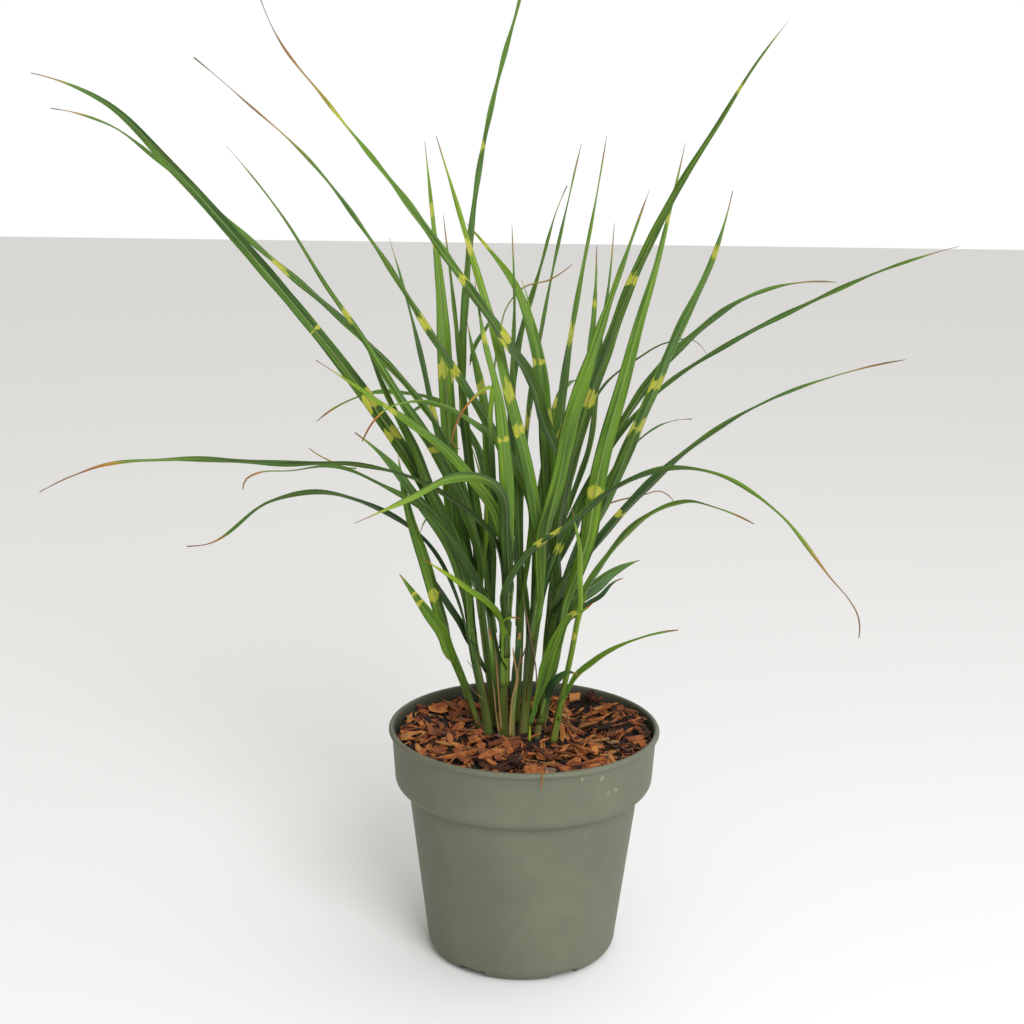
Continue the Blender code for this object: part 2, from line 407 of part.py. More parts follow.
def smooth_path(points, start_direction, count):
    """Evenly spaced points and tangents on a smooth curve through the points.

    Each span is a cubic whose slope at a point is that of the parabola through it and its two
    neighbours; the curve leaves its first point along start_direction.
    """
    points = np.asarray(points, dtype=float)
    chord = np.linalg.norm(np.diff(points, axis=0), axis=1)
    knot = np.concatenate([[0.0], np.cumsum(chord)])
    slope = np.diff(points, axis=0) / chord[:, None]
    tangent = np.empty_like(points)
    before, after = chord[:-1, None], chord[1:, None]
    tangent[1:-1] = (slope[:-1] * after + slope[1:] * before) / (before + after)
    tangent[0] = np.asarray(start_direction) / np.linalg.norm(start_direction)
    tangent[-1] = 2.0 * slope[-1] - tangent[-2]
    fine = np.linspace(0.0, knot[-1], 400)
    span = np.clip(np.searchsorted(knot, fine, side="right") - 1, 0, len(chord) - 1)
    width = chord[span][:, None]
    t = (fine[:, None] - knot[span][:, None]) / width
    curve = ((2 * t**3 - 3 * t**2 + 1) * points[span] + (t**3 - 2 * t**2 + t) * width * tangent[span]
             + (3 * t**2 - 2 * t**3) * points[span + 1] + (t**3 - t**2) * width * tangent[span + 1])
    length = np.concatenate([[0.0], np.cumsum(np.linalg.norm(np.diff(curve, axis=0), axis=1))])
    even = np.linspace(0.0, length[-1], count)
    places = np.stack([np.interp(even, length, curve[:, k]) for k in range(3)], axis=1)
    along = np.gradient(places, axis=0)
    return places, along / np.linalg.norm(along, axis=1)[:, None], length[-1]


def shoot_line(points):
    """Shoot centre line in metres, cut off level where it stands on the crown."""
    line = np.asarray(points) * CM
    line[0, 2] = SHOOT_FOOT_Z
    return line


def shoot_at(shoot, z):
    """Centre, direction and radius of a shoot at height z."""
    line, foot_radius, top_radius = shoot
    centre = np.array([np.interp(z, line[:, 2], line[:, k]) for k in range(2)] + [z])
    span = int(np.clip(np.searchsorted(line[:, 2], z) - 1, 0, len(line) - 2))
    direction = line[span + 1] - line[span]
    share = (z - line[0, 2]) / (line[-1, 2] - line[0, 2])
    return centre, direction / np.linalg.norm(direction), foot_radius + share * (top_radius - foot_radius)


def make_shoot(name, shoot):
    """A shoot of rolled leaf sheaths: a tapered tube with level rings on its centre line."""
    line = shoot[0]
    turn = np.linspace(0.0, 2.0 * math.pi, SHOOT_SIDES, endpoint=False)
    vertices = []
    for point in line:
        radius = shoot_at(shoot, point[2])[2]
        ring = np.stack([point[0] + radius * np.cos(turn), point[1] + radius * np.sin(turn),
                         np.full(SHOOT_SIDES, point[2])], axis=1)
        vertices.extend(ring)
    faces = [tuple(range(SHOOT_SIDES))[::-1]]
    for k in range(len(line) - 1):
        low = k * SHOOT_SIDES
        for i in range(SHOOT_SIDES):
            j = (i + 1) % SHOOT_SIDES
            faces.append((low + i, low + j, low + SHOOT_SIDES + j, low + SHOOT_SIDES + i))
    last = (len(line) - 1) * SHOOT_SIDES
    faces.append(tuple(last + i for i in range(SHOOT_SIDES)))
    return add_object(name, vertices, faces, "6b8436", 0.5)


def blade_width(share):
    """Half-width share along a blade: narrow collar, widest a third of the way, fine tip."""
    rise = 0.5 + 0.5 * np.clip(share / 0.25, 0.0, 1.0) ** 0.8
    taper = 1.0 - np.clip((share - 0.35) / 0.65, 0.0, 1.0) ** 1.7
    return rise * np.maximum(taper, 0.05)


def unit(vectors):
    """Vectors scaled to length one, row by row."""
    return vectors / np.linalg.norm(vectors, axis=-1, keepdims=True)


def blade_normals(tangents, to_axis, view, turns):
    """Upper-face directions: towards the shoot at the collar, then turned from the view."""
    view = np.asarray(view)
    facing = unit(view - (tangents @ view)[:, None] * tangents)
    across = np.cross(tangents, facing)
    turned = facing * np.cos(turns)[:, None] + across * np.sin(turns)[:, None]
    base = to_axis - (tangents @ to_axis)[:, None] * tangents
    sign = 1.0 if float(turned[0] @ base[0]) >= 0.0 else -1.0
    share = np.clip(np.linspace(0.0, 1.0, len(tangents)) / 0.3, 0.0, 1.0)
    share = (3.0 * share**2 - 2.0 * share**3)[:, None]
    return unit(unit(base) * (1.0 - share) + sign * turned * share)


def blade_faces(low):
    """Faces between two sections, each quad split from the midrib to the next section's edge.

    Both sides of the blade are split alike, so where it twists they stay parallel.
    """
    faces = []
    for i in range(4):
        j = (i + 1) % 4
        if i % 2:
            faces.append((low + i, low + 4 + i, low + 4 + j))
            faces.append((low + i, low + 4 + j, low + j))
        else:
            faces.append((low + i, low + 4 + i, low + j))
            faces.append((low + 4 + i, low + 4 + j, low + j))
    return faces


def make_leaf(name, shoot, row, colour):
    """A leaf blade: a four-sided section, folded to a shallow V, carried along the midrib."""
    collar_z, side, width, turn_base, turn_tip, view, points = row
    centre, direction, radius = shoot_at(shoot, collar_z * CM)
    outward = np.array([math.cos(math.radians(side)), math.sin(math.radians(side)), 0.0])
    stand_off = radius + GAP + BLADE_THICKNESS + 0.0004
    start = centre + outward * stand_off
    path = np.vstack([start, np.asarray(points) * CM])
    places, tangents, _ = smooth_path(path, direction + 0.15 * outward, BLADE_STATIONS)
    turns = np.radians(np.linspace(turn_base, turn_tip, BLADE_STATIONS))
    normals = blade_normals(tangents, -outward, view, turns)
    sides = np.cross(tangents, normals)
    half = (width * 0.0005 * blade_width(np.linspace(0.0, 1.0, BLADE_STATIONS)))[:, None]
    thick = BLADE_THICKNESS / 2.0 * np.linspace(1.0, 0.5, BLADE_STATIONS)[:, None]
    fold = BLADE_FOLD * half
    ring = np.stack([places - sides * half + normals * fold, places - normals * (thick + fold / 2.0),
                     places + sides * half + normals * fold, places + normals * (thick - fold / 2.0)], axis=1)
    vertices = ring.reshape(-1, 3)
    faces = [(0, 1, 2, 3)]
    for low in range(0, 4 * (BLADE_STATIONS - 1), 4):
        faces += blade_faces(low)
    last = 4 * (BLADE_STATIONS - 1)
    faces.append((last + 3, last + 2, last + 1, last))
    return add_object(name, vertices, faces, colour, 0.45)


def main():
    """Build every piece of the potted clump."""
    clear_scene()
    angles = column_angles()
    make_pot(angles)
    make_soil(angles)
    make_mulch(angles)
    shoots = {}
    for name, foot_radius, top_radius, points in SHOOTS:
        shoots[name] = (shoot_line(points), foot_radius / 1000.0, top_radius / 1000.0)
        make_shoot("shoot_" + name, shoots[name])
    tally = {}
    for index, (shoot, *row) in enumerate(LEAVES):
        tally[shoot] = tally.get(shoot, 0) + 1
        make_leaf(f"leaf_{shoot}_{tally[shoot]}", shoots[shoot], row, GREENS[index % len(GREENS)])


main()
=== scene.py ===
# %% [markdown]
# # A potted zebra grass
# A young clump of banded grass stands in a grey-green nursery pot, under a layer of bark chips. The packed
# model gives the frame: every leaf, shoot, the pot and its fill are there as plain solids, in metres.
# Each is replaced here by a finer surface in the same place, and gets the finish of the real thing.

import math

import bpy
import numpy as np
from mathutils import Matrix, Vector


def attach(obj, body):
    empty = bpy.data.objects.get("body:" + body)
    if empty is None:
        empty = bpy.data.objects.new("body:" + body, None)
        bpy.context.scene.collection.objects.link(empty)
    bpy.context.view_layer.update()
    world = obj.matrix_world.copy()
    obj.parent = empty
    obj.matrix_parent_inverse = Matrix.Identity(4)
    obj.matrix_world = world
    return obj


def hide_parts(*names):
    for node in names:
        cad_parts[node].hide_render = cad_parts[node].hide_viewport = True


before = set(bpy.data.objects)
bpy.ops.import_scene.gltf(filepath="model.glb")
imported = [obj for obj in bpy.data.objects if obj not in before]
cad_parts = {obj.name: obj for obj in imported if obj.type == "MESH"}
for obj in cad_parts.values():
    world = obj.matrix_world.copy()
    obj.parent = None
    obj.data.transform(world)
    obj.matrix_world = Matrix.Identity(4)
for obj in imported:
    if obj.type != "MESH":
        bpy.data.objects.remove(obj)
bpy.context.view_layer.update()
print("nodes:", len(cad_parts))

# %% [markdown]
# ## The viewpoint
# The clump is seen from a little above, about 1.2 m from the pot, through a 62 mm lens. The camera looks
# 13.4 degrees down, and is turned by three quarters of a degree about its own axis.

# %% Camera
LOOK_DOWN = math.radians(13.43)
LEAN = 0.0131
STAND = (-0.0105, -1.1715, 0.5977)
camera = bpy.data.objects.new("camera", bpy.data.cameras.new("camera"))
camera.data.lens = 62.0
camera.data.sensor_width = 36.0
camera.data.clip_start = 0.01
right, up = Vector((1, 0, 0)), Vector((0, math.sin(LOOK_DOWN), math.cos(LOOK_DOWN)))
turned_right = math.cos(LEAN) * right + math.sin(LEAN) * up
turned_up = math.cos(LEAN) * up - math.sin(LEAN) * right
turn = Matrix((turned_right, turned_up, turned_right.cross(turned_up))).transposed()
camera.matrix_world = Matrix.Translation(STAND) @ turn.to_4x4()
bpy.context.scene.collection.objects.link(camera)
bpy.context.scene.camera = camera
print("camera:", tuple(round(c, 3) for c in camera.location))

# %% [markdown]
# ## Helpers
# A colour is noted as the sRGB hex value that an eye would match it to, and a shader wants linear light, so
# one function turns one into the other. A second one adds a shader node with its settings and links.

# %% Colour and node helpers
def linear(hex_colour):
    """An sRGB hex colour as linear RGBA: the sRGB curve's inverse on each channel."""
    parts = [int(hex_colour[i:i + 2], 16) / 255.0 for i in (0, 2, 4)]
    return [p / 12.92 if p <= 0.04045 else ((p + 0.055) / 1.055) ** 2.4 for p in parts] + [1.0]


def set_inputs(node, inputs):
    """Set a node's inputs, by name or in order: each to a value, or linked to the socket it is given."""
    for key, value in inputs.items() if isinstance(inputs, dict) else enumerate(inputs):
        if isinstance(value, bpy.types.NodeSocket):
            node.id_data.links.new(value, node.inputs[key])
        else:
            node.inputs[key].default_value = value


def add(tree, kind, inputs=(), out=0, **settings):
    """Add a node with its inputs and properties, and return the output that is asked for."""
    made = tree.nodes.new("ShaderNode" + kind)
    for key, value in settings.items():
        setattr(made, key, value)
    set_inputs(made, inputs)
    return made.outputs[out]


def new_material(name):
    """An empty node material with a Principled shader on its output."""
    material = bpy.data.materials.new(name)
    material.use_nodes = True
    tree = material.node_tree
    return material, tree, tree.nodes["Principled BSDF"]


def set_ramp(colour, stops):
    """Give the Color Ramp behind a colour its stops: a list of (position, hex colour)."""
    elements = colour.node.color_ramp.elements
    while len(elements) > 1:
        elements.remove(elements[-1])
    elements[0].position, elements[0].color = stops[0][0], linear(stops[0][1])
    for position, hex_colour in stops[1:]:
        elements.new(position).color = linear(hex_colour)


def drawn_noise(tree, place, stretch, detail, scale=1.0, roughness=0.5):
    """Noise drawn out or packed along each axis: the place is multiplied by stretch first."""
    at = add(tree, "VectorMath", (place, stretch), operation="MULTIPLY")
    return add(tree, "TexNoise", {"Vector": at, "Scale": scale, "Detail": detail, "Roughness": roughness})


# %% Mesh helpers
def grid_quads(rows, columns, wrap):
    """Quads of a grid of rows by columns points, as indices; wrap joins the last column to the first."""
    index = np.arange(rows * columns).reshape(rows, columns)
    if wrap:
        index = np.hstack([index, index[:, :1]])
    corners = [index[:-1, :-1], index[:-1, 1:], index[1:, 1:], index[1:, :-1]]
    return np.stack(corners, axis=-1).reshape(-1, 4)


def make_piece(name, points, faces, material, stands_for=(), attributes=None):
    """Make a mesh piece, smooth shaded, with point attributes, riding on the root body."""
    mesh = bpy.data.meshes.new(name)
    mesh.from_pydata(np.asarray(points, float).reshape(-1, 3), [], faces)
    for key, values in (attributes or {}).items():
        values = np.asarray(values, np.float32)
        if values.ndim > 1 and values.shape[-1] == 3:
            mesh.attributes.new(key, "FLOAT_VECTOR", "POINT").data.foreach_set("vector", values.ravel())
        else:
            mesh.attributes.new(key, "FLOAT", "POINT").data.foreach_set("value", values.ravel())
    mesh.shade_smooth()
    mesh.materials.append(material)
    piece = bpy.data.objects.new(name, mesh)
    bpy.context.scene.collection.objects.link(piece)
    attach(piece, "root")
    if stands_for:
        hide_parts(*stands_for)
    return piece


# %% [markdown]
# ## Floor and light
# A plain pale floor under a white sky, so that shadows are soft and the clump stands clear. The sky gives
# less light from the left, as a room's dark side would, and one large soft light stands to the right.

# %% Floor and lights
bpy.context.scene.view_settings.view_transform = "Standard"
floor_material, _, floor_shader = new_material("pale_studio_floor")
set_inputs(floor_shader, {"Base Color": linear("ececea"), "Roughness": 1.0, "Specular IOR Level": 0.0})
floor_mesh = bpy.data.meshes.new("studio_floor")
floor_mesh.from_pydata([(-6, -6, 0), (6, -6, 0), (6, 6, 0), (-6, 6, 0)], [], [(0, 1, 2, 3)])
floor_mesh.materials.append(floor_material)
floor = bpy.data.objects.new("studio_floor", floor_mesh)
bpy.context.scene.collection.objects.link(floor)

world = bpy.data.worlds.new("white_sky")
bpy.context.scene.world = world
world.use_nodes = True
sky_tree = world.node_tree
sky_x = add(sky_tree, "SeparateXYZ", (add(sky_tree, "TexCoord"),))
left_share = add(sky_tree, "MapRange", (sky_x, 0.0, -0.7, 0.0, 1.0))
backdrop = add(sky_tree, "LightPath")
dimmed = add(sky_tree, "Math", (left_share, backdrop), operation="SUBTRACT", use_clamp=True)
sky_colour = add(sky_tree, "MixRGB", (dimmed, linear("ffffff"), linear("9d948a")))
set_inputs(sky_tree.nodes["Background"], {"Color": sky_colour})


def add_softbox(name, place, target, size, power, hex_colour):
    """A square area light at place, facing target."""
    light = bpy.data.lights.new(name, "AREA")
    light.size = size
    light.energy = power
    light.color = linear(hex_colour)[:3]
    lamp = bpy.data.objects.new(name, light)
    aim = (Vector(target) - Vector(place)).to_track_quat("-Z", "Y")
    lamp.matrix_world = Matrix.Translation(place) @ aim.to_matrix().to_4x4()
    bpy.context.scene.collection.objects.link(lamp)
    return lamp


key_light = add_softbox("window_light", (0.7, -1.75, 1.5), (0, 0, 0.25), 1.1, 38.0, "f6f9ff")
print("key light, W:", key_light.data.energy)

# %% [markdown]
# ## The pot's sizes
# The visual pot is turned from the same profile as the solid one: 190 mm over the lip, 165 mm high, a wide
# band under the lip, a rounded shoulder, and a foot ring with six drainage notches.

# %% Pot sizes, in metres
POT_HEIGHT, RIM_RADIUS, LIP = 0.165, 0.095, 0.0045
BAND_TOP, BAND_FOOT, BAND_FOOT_Z = 0.0926, 0.0906, 0.130
SHOULDER, BODY_TOP, BODY_FOOT, FOOT = 0.009, 0.0809, 0.0672, 0.010
WALL, RING_INNER, PAD, CHANNEL_Z, SLOPE = 0.0014, 0.051, 0.022, 0.006, 0.0035
NOTCHES, NOTCH_FIRST = 6, math.radians(28.0 - 90.0)
NOTCH_HALF, NOTCH_SIDE, NOTCH_HEIGHT = math.radians(8.5), math.radians(1.2), 0.0055
DRAIN_RING, DRAIN_RADIUS, DRAIN_SIDES = 0.037, 0.0045, 24
MERGE_WITHIN = 0.00001
CROWN = np.array([-0.0035, 0.0300])
SOIL_Z, MOUND_Z = 0.146, 0.1505


# %% The pot's section
def arc(centre_r, centre_z, radius, start, end, count):
    """Points (r, z) on an arc: centre plus radius times (cos, sin) of evenly spaced angles in degrees."""
    angle = np.radians(np.linspace(start, end, count))
    return np.stack([centre_r + radius * np.cos(angle), centre_z + radius * np.sin(angle)], axis=1)


def line(start, end, count):
    """Evenly spaced points (r, z) from start up to but not including end."""
    share = np.linspace(0.0, 1.0, count, endpoint=False)[:, None]
    return np.asarray(start) * (1 - share) + np.asarray(end) * share


def pot_profile():
    """The pot's section from the middle of the base, out, up the outside, over the lip and down inside."""
    lip_z = POT_HEIGHT - LIP
    wall_top = BAND_TOP - WALL
    body_top_z = BAND_FOOT_Z - SHOULDER - WALL
    bed_z = CHANNEL_Z + WALL
    soft = 0.0012
    outer = [line((0.0, 0.0), (PAD, 0.0), 3), line((PAD, 0.0), (PAD + SLOPE, CHANNEL_Z), 4),
             line((PAD + SLOPE, CHANNEL_Z), (RING_INNER - SLOPE, CHANNEL_Z), 7),
             line((RING_INNER - SLOPE, CHANNEL_Z), (RING_INNER, 0.0), 4),
             line((RING_INNER, 0.0), (BODY_FOOT - FOOT, 0.0), 3),
             arc(BODY_FOOT - FOOT, FOOT, FOOT, -90, 0, 12),
             line((BODY_FOOT + 0.0006, FOOT + 0.005), (BODY_TOP, body_top_z - soft), 22),
             arc(BODY_TOP + soft, BAND_FOOT_Z - SHOULDER - soft, soft, 180, 90, 4),
             arc(BAND_FOOT - SHOULDER, BAND_FOOT_Z, SHOULDER, -84, 0, 12),
             line((BAND_FOOT + 0.0002, BAND_FOOT_Z + 0.003), (BAND_TOP, lip_z - 0.0006), 9),
             arc(RIM_RADIUS - LIP / 2, lip_z + LIP / 2, LIP / 2, -75, 90, 12)]
    inner = [arc(wall_top + 0.0015, POT_HEIGHT - 0.0015, 0.0015, 90, 180, 5),
             line((wall_top, lip_z - 0.002), (BAND_FOOT - WALL, BAND_FOOT_Z + 0.002), 8),
             arc(BAND_FOOT - SHOULDER, BAND_FOOT_Z, SHOULDER - WALL, 0, -90, 8),
             line((BODY_TOP - WALL, body_top_z - 0.001), (BODY_FOOT - WALL, FOOT + 0.004), 14),
             arc(BODY_FOOT - FOOT, FOOT, FOOT - WALL, 0, -90, 8),
             line((RING_INNER + WALL, WALL), (RING_INNER - SLOPE, bed_z), 4),
             line((RING_INNER - SLOPE, bed_z), (PAD + SLOPE, bed_z), 5),
             line((PAD + SLOPE, bed_z), (PAD - WALL, WALL), 4),
             np.array([[PAD - WALL, WALL], [0.0, WALL]])]
    return np.vstack(outer), np.vstack(inner)


outer_profile, inner_profile = pot_profile()
print("pot profile points:", len(outer_profile) + len(inner_profile))

# %% Pot surface
def pot_angles():
    """Angles of the pot's columns: even ones, with extra pairs at the two sides of every notch."""
    step = 2 * math.pi / NOTCHES
    half = NOTCH_HALF
    within = np.linspace(-half, half, 9)
    sides = np.array([-half - NOTCH_SIDE, -half - NOTCH_SIDE / 2, half + NOTCH_SIDE / 2, half + NOTCH_SIDE])
    between = np.linspace(half + NOTCH_SIDE, step - half - NOTCH_SIDE, 22)[1:-1]
    one = np.sort(np.concatenate([within, sides, between]))
    return np.concatenate([NOTCH_FIRST + one + n * step for n in range(NOTCHES)])


def notch_share(angle):
    """1 inside a notch, 0 outside, and a smooth step between over the notch's sides."""
    step = 2 * math.pi / NOTCHES
    away = np.abs((angle - NOTCH_FIRST + step / 2) % step - step / 2)
    t = np.clip((NOTCH_HALF + NOTCH_SIDE - away) / NOTCH_SIDE, 0, 1)
    return t * t * (3 - 2 * t)


def turn_profile(profile, angles, lift_to):
    """Carry a section (r, z) round the axis, lifting what is lower than lift_to where there is a notch."""
    r, z = profile[:, :1], profile[:, 1:]
    lifted = np.maximum(z, lift_to * notch_share(angles)[None, :] * (r > RING_INNER * 0.9))
    z = np.broadcast_to(lifted, (len(profile), len(angles)))
    return np.stack([r * np.cos(angles), r * np.sin(angles), z], axis=-1)


# %% Mesh finish and drain holes
def finish_mesh(piece, cutter=None):
    """Merge points that coincide, cut the cutter out, and keep the result as plain mesh."""
    piece.modifiers.new("weld", "WELD").merge_threshold = MERGE_WITHIN
    if cutter:
        cut = piece.modifiers.new("holes", "BOOLEAN")
        cut.object = cutter
        cut.solver = "EXACT"
    bpy.context.view_layer.update()
    kept = bpy.data.meshes.new_from_object(piece.evaluated_get(bpy.context.evaluated_depsgraph_get()))
    piece.modifiers.clear()
    piece.data = kept


def drain_pegs():
    """One upright peg for each drain hole, between the notches, as a mesh object to cut with."""
    bearing = NOTCH_FIRST + (np.arange(NOTCHES) + 0.5) * 2 * math.pi / NOTCHES
    ring = np.linspace(0, 2 * math.pi, DRAIN_SIDES, endpoint=False)
    x = DRAIN_RING * np.cos(bearing)[:, None, None] + DRAIN_RADIUS * np.cos(ring)[None, None, :]
    y = DRAIN_RING * np.sin(bearing)[:, None, None] + DRAIN_RADIUS * np.sin(ring)[None, None, :]
    z = np.array([0.003, 0.010])[None, :, None]
    points = np.stack(np.broadcast_arrays(x, y, z), axis=-1).reshape(-1, 3)
    faces = []
    for start in range(0, len(points), 2 * DRAIN_SIDES):
        middle, end = start + DRAIN_SIDES, start + 2 * DRAIN_SIDES
        faces += (grid_quads(2, DRAIN_SIDES, True) + start).tolist()
        faces += [list(range(middle - 1, start - 1, -1)), list(range(middle, end))]
    mesh = bpy.data.meshes.new("drain_pegs")
    mesh.from_pydata(points, [], faces)
    pegs = bpy.data.objects.new("drain_pegs", mesh)
    bpy.context.scene.collection.objects.link(pegs)
    return pegs


# %% The whole pot
def make_pot(material):
    """The whole pot as one closed skin, outside and inside, with its drain holes cut."""
    angles = pot_angles()
    outside = turn_profile(outer_profile, angles, NOTCH_HEIGHT)
    inside = turn_profile(inner_profile, angles, NOTCH_HEIGHT + WALL)
    grid = np.concatenate([outside, inside])
    inner_side = np.repeat([0.0, 1.0], [len(outside), len(inside)])[:, None] * np.ones(len(angles))
    pot = make_piece("moulded_pot", grid, grid_quads(len(grid), len(angles), True), material,
                     ["nursery_pot"], {"inner_side": inner_side})
    pegs = drain_pegs()
    finish_mesh(pot, pegs)
    bpy.data.objects.remove(pegs)
    pot.data.shade_smooth()
    pot.data.set_sharp_from_angle(angle=math.radians(40))
    return pot


# %% [markdown]
# ## The pot's plastic
# Recycled polypropylene, injection moulded: grey-green, matt with a slight sheen. It has a faint orange
# peel, soft mottling where dust has settled, a few pale scuffs on the band, and small dark specks. Inside,
# the wall is painted darker down towards the mulch: painted shade under the rim and leaves, with some damp
# staining.

# %% Pot material
SCUFFS = ((0.0378, -0.0839, 0.1588), (0.0514, -0.0763, 0.1559), (0.0566, -0.0726, 0.1431),
          (0.0614, -0.0685, 0.1443))


def pot_specks(tree, place, x):
    """Small dark specks round the middles of cells, as wide as a coarse noise lets them be."""
    speck = add(tree, "TexVoronoi", {"Vector": place, "Scale": 150.0, "Randomness": 1.0})
    patch = add(tree, "TexNoise", {"Vector": place, "Scale": 60.0, "Detail": 1.0})
    side = add(tree, "MapRange", (x, 0.0, 0.05, -0.10, 0.0))
    patch = add(tree, "Math", (patch, side), operation="ADD")
    size = add(tree, "MapRange", (patch, 0.60, 0.76, 0.0, 0.075))
    dark = add(tree, "Math", (speck, size), operation="LESS_THAN")
    return add(tree, "Math", (dark, 0.6), operation="MULTIPLY")


# %% The plastic itself
def potting_plastic():
    """Matt grey-green polypropylene: gives the eye a dull, even skin with dust, scuffs and specks, and painted
    shade inside the wall.
    """
    material, tree, shader = new_material("moulded_polypropylene")
    place = add(tree, "TexCoord", out="Object")
    x, _, z = add(tree, "SeparateXYZ", (place,)).node.outputs
    dust = add(tree, "TexNoise", {"Vector": place, "Scale": 16.0, "Detail": 4.0, "Roughness": 0.6})
    colour = add(tree, "ValToRGB", (dust,))
    set_ramp(colour, [(0.3, "5f604f"), (0.55, "656855"), (0.75, "6c6f5c")])
    rub = drawn_noise(tree, place, (14.0, 14.0, 160.0), 5.0, 6.0)
    rubbed = add(tree, "MapRange", (rub, 0.67, 0.75, 0.0, 0.22))
    for share, tint in ((pot_specks(tree, place, x), "35332a"), (rubbed, "8e9083")):
        colour = add(tree, "MixRGB", (share, colour, linear(tint)))
    grit = add(tree, "TexNoise", {"Vector": place, "Scale": 700.0, "Detail": 3.0})
    ragged = add(tree, "MapRange", (grit, 0.35, 0.65, -0.0012, 0.0012))
    for spot in SCUFFS:
        away = add(tree, "VectorMath", (place, spot), "Value", operation="DISTANCE")
        away = add(tree, "Math", (away, ragged), operation="ADD")
        mark = add(tree, "MapRange", (away, 0.0006, 0.0017, 0.34, 0.0))
        colour = add(tree, "MixRGB", (mark, colour, linear("b9b892")))
    # Painted shade: the inside of the wall is darkened, most of all down by the mulch, with some damp staining
    # too.
    inner = add(tree, "Attribute", out="Fac", attribute_name="inner_side")
    deep = add(tree, "MapRange", (z, 0.1635, 0.1560, 0.45, 0.9))
    painted_inner_shade = add(tree, "Math", (inner, deep), operation="MULTIPLY")
    colour = add(tree, "MixRGB", (painted_inner_shade, colour, linear("2c2d25")))
    rough = add(tree, "MapRange", (dust, 0.3, 0.7, 0.50, 0.64))
    peel = add(tree, "TexNoise", {"Vector": place, "Scale": 900.0, "Detail": 2.0})
    bump = add(tree, "Bump", {"Height": peel, "Strength": 0.12, "Distance": 0.0002})
    set_inputs(shader, {"Base Color": colour, "Roughness": rough, "Normal": bump, "IOR": 1.49,
                        "Specular IOR Level": 0.35})
    return material


pot_piece = make_pot(potting_plastic())
print("pot faces:", len(pot_piece.data.polygons))

# %% [markdown]
# ## Potting soil
# Damp compost fills the pot. Its top is crumbly, a little higher where the shoots come out.

# %% Soil surface and material
def waves(x, y, scale, seed, count=14):
    """Uneven ground from -1 to 1: the mean of many sine waves of random direction and phase."""
    rng = np.random.default_rng(seed)
    turn, phase = rng.uniform(0, 2 * math.pi, (2, count))
    stretch = scale * rng.uniform(0.6, 1.8, count)
    ways = np.cos(turn) * stretch, np.sin(turn) * stretch
    total = np.sin(x[..., None] * ways[0] + y[..., None] * ways[1] + phase).sum(axis=-1)
    return total / math.sqrt(count)


def soil_height(x, y):
    """Height of the compost: a mound round the crown, banks at the wall, right and back, and crumbs."""
    away = np.hypot(x - CROWN[0], y - CROWN[1])
    t = np.clip((0.046 - away) / 0.020, 0, 1)
    mound = (MOUND_Z - 0.0006 - SOIL_Z) * t * t * (3 - 2 * t)
    out = np.clip((away - 0.045) / 0.035, 0, 1)
    bank = 0.0066 + 0.045 * np.clip(x + 0.02, 0, 0.1) + 0.10 * np.clip(y, 0, 0.085)
    bank = np.minimum(bank, 0.0118) * out * out * (3 - 2 * out)
    return SOIL_Z + 0.0002 + mound + bank + 0.0007 * waves(x, y, 600, 3) + 0.0004 * waves(x, y, 1500, 4)


# %% Compost
def soil_material():
    """Damp peat compost: gives the eye a dark, dull, crumbly ground with paler fibres."""
    material, tree, shader = new_material("damp_compost")
    place = add(tree, "TexCoord", out="Object")
    crumbs = add(tree, "TexNoise", {"Vector": place, "Scale": 420.0, "Detail": 6.0, "Roughness": 0.7})
    colour = add(tree, "ValToRGB", (crumbs,))
    set_ramp(colour, [(0.3, "0d0907"), (0.5, "20160f"), (0.68, "362618"), (0.8, "57402b")])
    bump = add(tree, "Bump", {"Height": crumbs, "Strength": 1.0, "Distance": 0.0012})
    set_inputs(shader, {"Base Color": colour, "Normal": bump, "Roughness": 0.92})
    return material


def make_soil(material):
    """The fill: the pot's inside moved in by 0.3 mm up to the soil line, then the uneven top."""
    angles = pot_angles()
    gap = 0.0003
    side = inner_profile[::-1]
    side = side[side[:, 1] < SOIL_Z - 0.001]
    side = np.stack([np.maximum(side[:, 0] - gap, 0.0), side[:, 1] + gap], axis=1)
    wall = turn_profile(side, angles, NOTCH_HEIGHT + WALL + gap)
    top_radius = np.interp(SOIL_Z, [BAND_FOOT_Z, POT_HEIGHT], [BAND_FOOT, BAND_TOP]) - WALL - gap
    radii = np.concatenate([np.linspace(top_radius, 0.004, 64), [0.0]])[:, None]
    x, y = radii * np.cos(angles), radii * np.sin(angles)
    top = np.stack([x, y, soil_height(x, y)], axis=-1)
    grid = np.concatenate([wall, top])
    faces = grid_quads(len(grid), len(angles), True)
    piece = make_piece("compost", grid, faces, material, ["potting_soil"])
    finish_mesh(piece)
    return piece


soil_piece = make_soil(soil_material())
print("soil faces:", len(soil_piece.data.polygons))

# %% [markdown]
# ## Shoots
# A shoot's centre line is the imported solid's: its points, worked out by another program, are repeated here in
# centimetres. The visible shoot is a slim core with the leaves' sheaths rolled round it.

